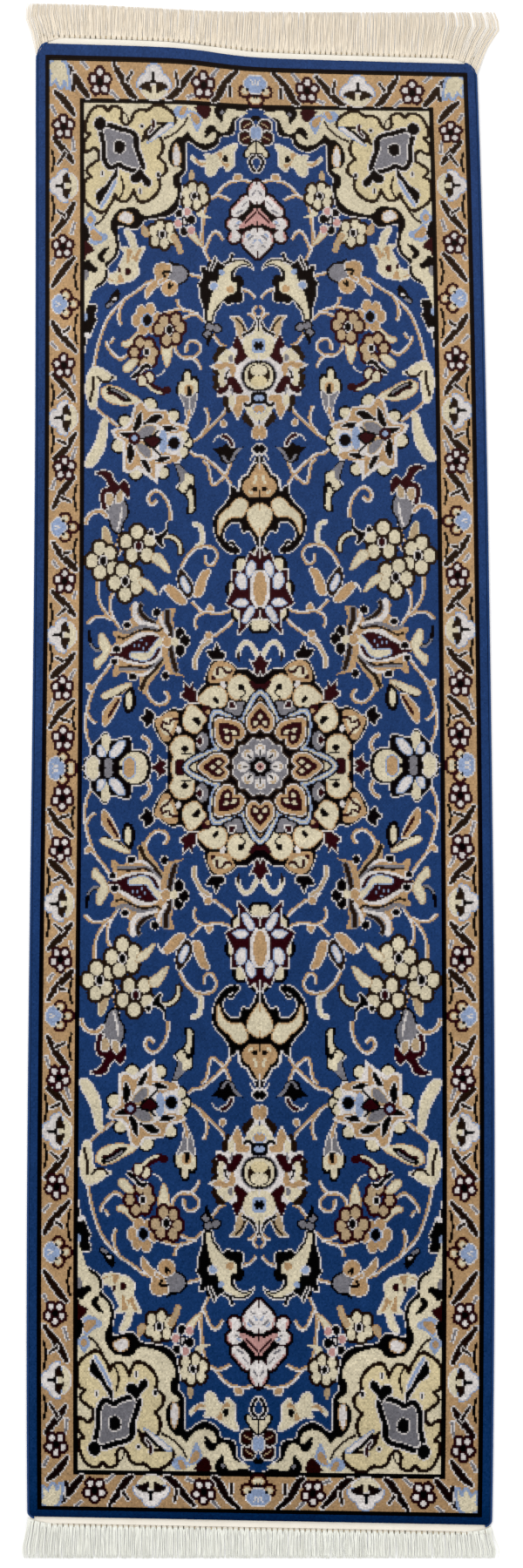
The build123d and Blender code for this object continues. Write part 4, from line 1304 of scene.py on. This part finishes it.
def restOnFloor(mesh, relief):
    # settles the even design into the lying rug; the nap is a little uneven
    co = vertexPlaces(mesh)
    x, y = roundCorner(co[:, 0] / mm, co[:, 1] / mm)
    z = co[:, 2] / mm
    edge = np.minimum(halfWidth - np.abs(x), halfLength - np.abs(y))
    upper = z > rug["groundTop"] + 1
    if relief:
        nap = relief * rng.standard_normal(len(z))
        roll = 2.0 * np.exp(-np.maximum(edge, 0) / 3.0)
        z = np.where(upper, z + nap - relief - roll, z)
    sx, sy = settle(x, y)
    mesh.vertices.foreach_set("co", (np.stack([sx, sy, z], 1) * mm).ravel())
    mesh.update()


def joinPieces(parts, name):
    deselectAll()
    for part in parts:
        part.select_set(True)
    bpy.context.view_layer.objects.active = parts[0]
    if len(parts) > 1:
        bpy.ops.object.join()
    piece = bpy.context.view_layer.objects.active
    piece.name = name
    piece.data.name = name
    return piece


class Mix:
    # a shader value that plain arithmetic works on
    tree = None

    def __init__(self, socket):
        self.socket = socket

    @classmethod
    def add(cls, kind, settings=None, inputs=None):
        # any node: its settings first, then the values or links of its sockets
        made = cls.tree.nodes.new(kind)
        for key, value in (settings or {}).items():
            setattr(made, key, value)
        for key, value in (inputs or {}).items():
            cls.join(value, made.inputs[key])
        return made

    @classmethod
    def join(cls, value, socket):
        if isinstance(value, Mix):
            cls.tree.links.new(value.socket, socket)
        else:
            socket.default_value = value

    def math(self, operation, a, b):
        made = Mix.add("ShaderNodeMath", {"operation": operation}, {0: a, 1: b})
        return Mix(made.outputs[0])

    def __add__(self, other):
        return self.math("ADD", self, other)

    def __radd__(self, other):
        return self.math("ADD", other, self)

    def __sub__(self, other):
        return self.math("SUBTRACT", self, other)

    def __rsub__(self, other):
        return self.math("SUBTRACT", other, self)

    def __mul__(self, other):
        return self.math("MULTIPLY", self, other)

    def __rmul__(self, other):
        return self.math("MULTIPLY", other, self)


def startMaterial(name):
    material = bpy.data.materials.new(name)
    material.use_nodes = True
    Mix.tree = material.node_tree
    return material, material.node_tree.nodes["Principled BSDF"]


def place():
    return Mix(Mix.add("ShaderNodeTexCoord").outputs["Object"])


def noise(where, scale, detail=2.0, stretch=(1, 1, 1)):
    if stretch != (1, 1, 1):
        where = Mix(Mix.add("ShaderNodeMapping", None, {"Vector": where, "Scale": stretch}).outputs[0])
    made = Mix.add("ShaderNodeTexNoise", None, {"Vector": where, "Scale": scale, "Detail": detail})
    return Mix(made.outputs["Fac"])


def tinted(colour, tone):
    made = Mix.add("ShaderNodeMix", {"data_type": "RGBA", "blend_type": "MULTIPLY"},
        {0: 1.0, 6: colour, 7: tone})
    return Mix(made.outputs[2])


def blended(factor, a, b):
    made = Mix.add("ShaderNodeMix", {"data_type": "RGBA"}, {0: factor, 6: a, 7: b})
    return Mix(made.outputs[2])


def setUp(shader, colour, roughness, height, strength, depth, sheen):
    Mix.join(colour, shader.inputs["Base Color"])
    Mix.join(roughness, shader.inputs["Roughness"])
    bump = Mix.add("ShaderNodeBump", None, {"Height": height, "Strength": strength, "Distance": depth})
    Mix.join(Mix(bump.outputs[0]), shader.inputs["Normal"])
    shader.inputs["Sheen Weight"].default_value = sheen
    shader.inputs["Sheen Roughness"].default_value = 0.45
    shader.inputs["Specular IOR Level"].default_value = 0.0


pile = {"fibre": 1500.0, "nap": 70.0, "cloud": 6.0, "sheen": 0.0, "bump": 0.5, "depth": 0.0007}


def knottedWool(name, lift):
    # cut pile: knot colours, fibre ends, a brushed nap and slow shifts of dye
    material, shader = startMaterial(name)
    where = place()
    # the yarn attribute holds knot colours with painted edge shade and painted nap light and shade
    yarn = Mix(Mix.add("ShaderNodeAttribute", {"attribute_name": "yarn"}).outputs["Color"])
    fibre = noise(where, pile["fibre"], 3.0)
    nap = noise(where, pile["nap"], 3.0, (1.0, 0.45, 1.0))
    cloud = noise(where, pile["cloud"], 2.0)
    tone = (0.42 + fibre * 0.62 + nap * 0.36 + cloud * 0.18) * lift
    setUp(shader, tinted(yarn, tone), 0.78 + nap * 0.18, fibre + nap * 0.6, pile["bump"], pile["depth"],
        pile["sheen"])
    return material


def backOfKnots(name):
    # underside: knot backs between wefts
    material, shader = startMaterial(name)
    where = place()
    # the yarn attribute here also carries the painted nap light and shade
    yarn = Mix(Mix.add("ShaderNodeAttribute", {"attribute_name": "yarn"}).outputs["Color"])
    fibre = noise(where, 1200.0)
    weft = Mix(Mix.add("ShaderNodeTexWave", {"bands_direction": "Y"},
        {"Vector": where, "Scale": 160.0}).outputs["Fac"])
    tone = 0.55 + fibre * 0.45 + weft * 0.35
    setUp(shader, tinted(yarn, tone), 0.85 + fibre * 0.1, weft * 0.7 + fibre * 0.5, 0.6, 0.0006, 0.05)
    return material


def spunCotton(name, pale, deep, rib, direction, stretch, gapShaded=False):
    # undyed cotton: soft shade changes, fine twist
    material, shader = startMaterial(name)
    where = place()
    cloud = noise(where, 45.0, 3.0, stretch)
    fibre = noise(where, 1600.0, 3.0)
    twist = Mix(Mix.add("ShaderNodeTexWave", {"bands_direction": direction},
                        {"Vector": where, "Scale": rib, "Distortion": 1.5}).outputs["Fac"])
    colour = tinted(blended(cloud, deep, pale), 0.86 + fibre * 0.2 + twist * 0.08)
    # painted gap shade from the cord's face attribute: dark on the stubs between bundles
    if gapShaded:
        paintedGapShade = Mix(Mix.add("ShaderNodeAttribute", {"attribute_name": "paintedGapShade"}).outputs["Color"])
        colour = tinted(colour, paintedGapShade)
    setUp(shader, colour, 0.82 + fibre * 0.12, twist * 0.7 + fibre * 0.5, 0.4, 0.0004, 0.1)
    return material


def overcastWool(name, base, deep):
    material, shader = startMaterial(name)
    where = place()
    fibre = noise(where, 1500.0, 3.0)
    shade = noise(where, 30.0, 2.0)
    setUp(shader, tinted(blended(shade, deep, base), 0.7 + fibre * 0.6), 0.8 + fibre * 0.15, fibre, 0.5,
        0.0005, 0.1)
    return material


materials = {
    "blue_wool": knottedWool("blueWool", 1.0),
    "black_wool": knottedWool("blackWool", 1.0),
    "camel_wool": knottedWool("camelWool", 1.0),
    "cream_wool": knottedWool("creamWool", 1.0),
    "medallion_wool": knottedWool("medallionWool", 1.0),
    "ground_cotton": backOfKnots("knotBacks"),
    "kilim": spunCotton("kilimCotton", (0.78, 0.74, 0.66, 1), (0.68, 0.63, 0.54, 1), 420.0, "Y", (1, 1, 1)),
    "twining": spunCotton("twinedCotton", (0.74, 0.69, 0.60, 1), (0.60, 0.54, 0.44, 1), 500.0,
        "DIAGONAL", (1, 1, 1), True),
    "fringeTop": spunCotton("fringeCottonTop", (0.82, 0.74, 0.625, 1), (0.74, 0.655, 0.525, 1), 700.0,
        "X", (6, 0.5, 1)),
    "fringeBottom": spunCotton("fringeCottonBottom", (0.86, 0.87, 0.81, 1), (0.71, 0.71, 0.64, 1),
        700.0, "X", (6, 0.5, 1)),
    "overcast_wool": overcastWool("overcastWool", (0.022, 0.060, 0.175, 1), (0.012, 0.034, 0.110, 1)),
    "core_cotton": spunCotton("coreCotton", (0.74, 0.70, 0.60, 1), (0.62, 0.57, 0.46, 1), 600.0, "Y",
        (1, 1, 1)),
}


def finishPiece(piece, material, node):
    piece.data.materials.clear()
    piece.data.materials.append(material)
    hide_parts(node)
    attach(piece, "root")
    return piece


# pile
xEdges = (np.arange(rug["columns"] + 1) - rug["columns"] / 2) * knotX
yEdges = (np.arange(rug["rows"] + 1) - rug["rows"] / 2) * knotY
zones = zonesOfPile()
made = {}
for index, node in enumerate(pileNodes):
    mask = zones == index
    masks = splitStrips(mask) if "guard" in node else [mask]
    parts = [wovenSheet(m, xEdges, yEdges, rug["pileTop"], rug["groundTop"]) for m in masks]
    piece = joinPieces(parts, "knots_" + node[5:])
    colourFaces(piece.data)
    layOutBake(piece.data, rug["pileTop"])
    restOnFloor(piece.data, 0.22)
    slotName = slotOf[node.split("_")[1]]
    made[node] = finishPiece(piece, materials[slotName], node)
print("pile made:", len(made), "pieces")

# underside, knot backs seen from below at half the count
backX = np.linspace(-halfWidth, halfWidth, 152)
backY = np.linspace(-halfLength, halfLength, 490)
back = wovenSheet(np.ones((489, 151), bool), backX, backY, 0.0, rug["groundTop"])
back = joinPieces([back], "ground_cloth")
colourFaces(back.data, 0.16)
layOutBake(back.data, 0.0)
restOnFloor(back.data, 0)
finishPiece(back, materials["ground_cotton"], "ground_weave")
print("underside made")

edging = {"width": 4.0, "height": 4.5, "bend": 80.0, "core": 2.0, "turn": 2.0, "sides": 10, "puff": 0.22}


def tubeMesh(name, rings, closed):
    # skin over rows of points, each row one ring of the tube
    count = len(rings[0])
    verts = [tuple(p) for ring in rings for p in ring]
    faces = []
    last = len(rings) if closed else len(rings) - 1
    for r in range(last):
        a, b = r * count, ((r + 1) % len(rings)) * count
        faces += [(a + k, a + (k + 1) % count, b + (k + 1) % count, b + k) for k in range(count)]
    mesh = bpy.data.meshes.new(name)
    mesh.from_pydata(verts, [], faces)
    return mesh


def edgeRun(sign):
    # middle line of the side cord and its outward direction: straight, then round both corners
    lift = edging["width"] / 2
    run = []
    for end, r in ((-1, rug["cornerBottom"]), (1, rug["cornerTop"])):
        turns = [math.radians(edging["bend"]) * k / 8 for k in range(9)]
        arc = [(halfWidth - r + (r + lift) * math.cos(a), halfLength - r + (r + lift) * math.sin(a),
            a) for a in turns]
        run += [(x, end * y, end * a) for x, y, a in (arc[::-1] if end < 0 else arc)]
    low, high = run[8], run[9]
    count = int((high[1] - low[1]) / edging["turn"]) * 2
    middle = [(low[0], low[1] + (high[1] - low[1]) * k / count, 0.0) for k in range(1, count)]
    return [(sign * x, y, a) for x, y, a in run[:9] + middle + run[9:]]


def overcastEdge(name, sign):
    # wool wound round the side cord, turn beside turn; outer skin and inner skin joined at both ends
    run = edgeRun(sign)
    outer, inner = [], []
    for k, (x0, y0, turn) in enumerate(run):
        puff = edging["puff"] * (1 if k % 2 else -1) * (0 < k < len(run) - 1)
        ringOut, ringIn = [], []
        for s in range(edging["sides"]):
            a = 2 * math.pi * s / edging["sides"]
            for ring, rx, rz in (
                (ringOut, edging["width"] / 2 - 0.15 + puff * 0.5, edging["height"] / 2 - 0.1 + puff * 0.5),
                (ringIn, edging["core"] / 2 + 0.25, edging["core"] / 2 + 0.25),
            ):
                reach = rx * math.cos(a)
                x, y = settle(x0 + sign * reach * math.cos(turn), y0 + reach * math.sin(turn))
                ring.append((x * mm, y * mm, (edging["height"] / 2 + rz * math.sin(a)) * mm))
        outer.append(ringOut)
        inner.append(ringIn)
    mesh = tubeMesh(name, outer + inner[::-1], True)
    piece = bpy.data.objects.new(name, mesh)
    bpy.context.scene.collection.objects.link(piece)
    return piece


def outwards(piece):
    deselectAll()
    piece.select_set(True)
    bpy.context.view_layer.objects.active = piece
    bpy.ops.object.mode_set(mode="EDIT")
    bpy.ops.mesh.select_all(action="SELECT")
    bpy.ops.mesh.normals_make_consistent(inside=False)
    bpy.ops.object.mode_set(mode="OBJECT")
    bpy.ops.object.shade_smooth()
    return piece


for side, sign in (("left", -1), ("right", 1)):
    piece = outwards(overcastEdge("overcasting_" + side, sign))
    made[side] = finishPiece(piece, materials["overcast_wool"], "selvedge_wrap_" + side)
    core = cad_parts["selvedge_core_" + side]
    core.data.materials.clear()
    core.data.materials.append(materials["core_cotton"])
print("selvedges made")

ends = {
    "kilim": 9.0, "twining": 2.5, "bundles": 83, "strands": 12, "sides": 5, "strandWidth": 0.92,
    "reach": {1: 77.0, -1: 49.0},
    "spread": {(1, -1): 15.0, (1, 1): 38.0, (-1, -1): 7.0, (-1, 1): 8.0},
    "spreadWidth": 34.0,
    "wrap": {1: 24.0, -1: 8.0},
}


def tubesPiece(name, paths, radii, sides, tones=None):
    # many thin closed tubes as one piece, each in its own tone if tones are given
    verts, faces = [], []
    for path, radius in zip(paths, radii):
        path = np.array(path)
        run = np.gradient(path, axis=0)
        run /= np.linalg.norm(run, axis=1)[:, None]
        side = np.cross(run, (0, 0, 1.0))
        side /= np.linalg.norm(side, axis=1)[:, None] + 1e-9
        up = np.cross(side, run)
        first = len(verts)
        for k in range(len(path)):
            r = radius * (0.55 if k == len(path) - 1 else 1.0)
            for s in range(sides):
                a = 2 * math.pi * s / sides
                verts.append(tuple((path[k] + r * (math.cos(a) * side[k] + math.sin(a) * up[k])) * mm))
        for k in range(len(path) - 1):
            a, b = first + k * sides, first + (k + 1) * sides
            faces += [(a + s, a + (s + 1) % sides, b + (s + 1) % sides, b + s) for s in range(sides)]
        faces.append(tuple(first + s for s in range(sides))[::-1])
        faces.append(tuple(first + (len(path) - 1) * sides + s for s in range(sides)))
    mesh = bpy.data.meshes.new(name)
    mesh.from_pydata(verts, [], faces)
    if tones is not None:
        counts = [(len(path) - 1) * sides + 2 for path in paths]
        colour = np.hstack([np.repeat(np.array(tones), counts, axis=0), np.ones((len(faces), 1))])
        mesh.attributes.new("paintedGapShade", "FLOAT_COLOR", "FACE").data.foreach_set("color", colour.ravel())
    piece = bpy.data.objects.new(name, mesh)
    bpy.context.scene.collection.objects.link(piece)
    return outwards(piece)


def cutLine(x, sign):
    # distance from the pile's end to the cut ends of the strands
    if sign < 0:
        return ends["reach"][-1]
    return ends["reach"][1] - 6.5 - 6.5 * math.tanh((x + 150) / 110)


def flare(share):
    # how far along its spread a strand is, from the twining to its cut end
    return float(np.interp(share, (0, 0.45, 0.75, 1.0), (0, 0.5, 1.0, 0.75)))


def fringePaths(sign):
    paths, radii = [], []
    start = ends["kilim"] + ends["twining"]
    pitch = rug["width"] / ends["bundles"]
    for b in range(ends["bundles"]):
        middle = -halfWidth + (b + 0.5) * pitch
        for s in range(ends["strands"]):
            offset = ((s + 0.5) / ends["strands"] - 0.5)
            rootX = middle + offset * pitch * 0.86
            tipX = middle + offset * pitch * 1.04 + rng.normal(0, 1.1)
            corner = math.exp(-(halfWidth - abs(rootX)) / 11.0)  # the last strands come round the corner
            x0, y0 = settle(rootX + math.copysign(3.0, rootX) * corner,
                sign * (halfLength + start - 2.0 - ends["wrap"][sign] * corner))
            tipY = sign * (halfLength + cutLine(rootX, sign) - abs(rng.normal(0, 0.7)))
            swing = rng.normal(0, 0.9)
            depth = rng.uniform(0.5, 1.9)
            path = []
            for k in range(8):
                t = k / 7
                lean = 3.0 * t * (1 if sign > 0 else 0.3)
                x = x0 + (tipX - rootX) * t + lean * (1 - abs(rootX) / halfWidth) + swing * math.sin(2.6 * t)
                for edge in (-1, 1):
                    near = math.exp(-(halfWidth - edge * rootX) / ends["spreadWidth"])
                    x += edge * ends["spread"][(sign, edge)] * near * flare(t) * 0.96
                z = 1.25 + (depth - 1.25) * min(1.0, 3 * t)
                z = min(2.1, max(0.45, z)) + 2.4 * min(1.0, corner * 4) * max(0.0, 1 - 1.5 * t)
                path.append((x, y0 + (tipY - y0) * t, z))
            paths.append(path)
            radii.append(ends["strandWidth"] / 2 * rng.uniform(0.85, 1.15))
    return paths, radii


def twiningPaths(sign):
    # two cords twisted round each bundle, one slanted turn on each side of it,
    # and between bundles a short dark stub that is painted shade for the shadowed gap
    paths, radii, tones = [], [], []
    pitch = rug["width"] / ends["bundles"]
    middleY = halfLength + ends["kilim"] + ends["twining"] / 2
    for b in range(ends["bundles"]):
        middle = -halfWidth + (b + 0.5) * pitch
        for phase in (-1, 1):
            path = []
            for k in range(7):
                t = k / 6 - 0.5
                x, y = settle(middle + t * pitch * 0.8,
                    sign * (middleY + phase * 0.62 * math.cos(math.pi * t * 2)))
                path.append((x, y, 1.6 + phase * 0.55 * math.sin(math.pi * t)))
            paths.append(path)
            radii.append(0.62)
            tones.append((1.0, 1.0, 1.0))
        path = []
        for k in range(3):
            x, y = settle(middle + pitch / 2, sign * (middleY - 0.6 + 1.9 * k))
            path.append((x, y, 2.1))
        # painted shade: the stub's dark warm tone stands for the shadow in the gap
        shade = rng.uniform(0.10, 0.55)
        paths.append(path)
        radii.append(rng.uniform(0.45, 0.85))
        tones.append((shade * 1.10, shade * 0.92, shade * 0.62))
    return paths, radii, tones


for word, sign in (("top", 1), ("bottom", -1)):
    paths, radii = fringePaths(sign)
    piece = tubesPiece("strands_" + word, paths, radii, ends["sides"])
    made["fringe_" + word] = finishPiece(piece, materials["fringe" + word.capitalize()],
        "fringe_" + word)
    paths, radii, tones = twiningPaths(sign)
    piece = tubesPiece("twined_cord_" + word, paths, radii, 6, tones)
    made["twining_" + word] = finishPiece(piece, materials["twining"], "twining_row_" + word)
    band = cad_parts["kilim_band_" + word]
    band.data.materials.clear()
    band.data.materials.append(materials["kilim"])
print("ends made")

laidOn = [p for p in made.values()]
laidOn += [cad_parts[n] for n in ("selvedge_core_left", "selvedge_core_right", "kilim_band_top",
    "kilim_band_bottom")]

# floor, light and camera
deselectAll()
bpy.ops.mesh.primitive_plane_add(size=14, location=(0, 0, -0.0006))
floor = bpy.context.object
floor.name = "floor"
floorMaterial, floorShader = startMaterial("paleFloor")
floorShader.inputs["Base Color"].default_value = (0.93, 0.93, 0.93, 1)
floorShader.inputs["Roughness"].default_value = 0.9
floorShader.inputs["Specular IOR Level"].default_value = 0.1
floor.data.materials.append(floorMaterial)

studio = {"sky": 0.80, "key": 100.0, "fill": 60.0, "size": 3.2, "height": 3.4}
world = bpy.data.worlds.new("studio")
bpy.context.scene.world = world
world.use_nodes = True
world.node_tree.nodes["Background"].inputs["Color"].default_value = (1, 1, 1, 1)
world.node_tree.nodes["Background"].inputs["Strength"].default_value = studio["sky"]


def softLight(name, power, x, y):
    deselectAll()
    bpy.ops.object.light_add(type="AREA", location=(x, y, studio["height"]))
    lamp = bpy.context.object
    lamp.name = name
    lamp.data.energy = power
    lamp.data.size = studio["size"]
    toRug = -lamp.location.normalized()
    lamp.rotation_euler = toRug.to_track_quat("-Z", "Y").to_euler()


softLight("keyLight", studio["key"], -2.2, 1.4)
softLight("fillLight", studio["fill"], 2.4, -1.6)

view = {"distance": 3.5, "tilt": math.radians(5.4), "lens": 60.4, "aimX": -0.0003, "aimY": -0.0194}
deselectAll()
bpy.ops.object.camera_add(location=(view["aimX"],
    view["aimY"] - view["distance"] * math.sin(view["tilt"]),
    view["distance"] * math.cos(view["tilt"])), rotation=(view["tilt"], 0, 0))
camera = bpy.context.object
camera.data.lens = view["lens"]
camera.data.clip_end = 50
bpy.context.scene.camera = camera
bpy.context.scene.view_settings.view_transform = "Standard"
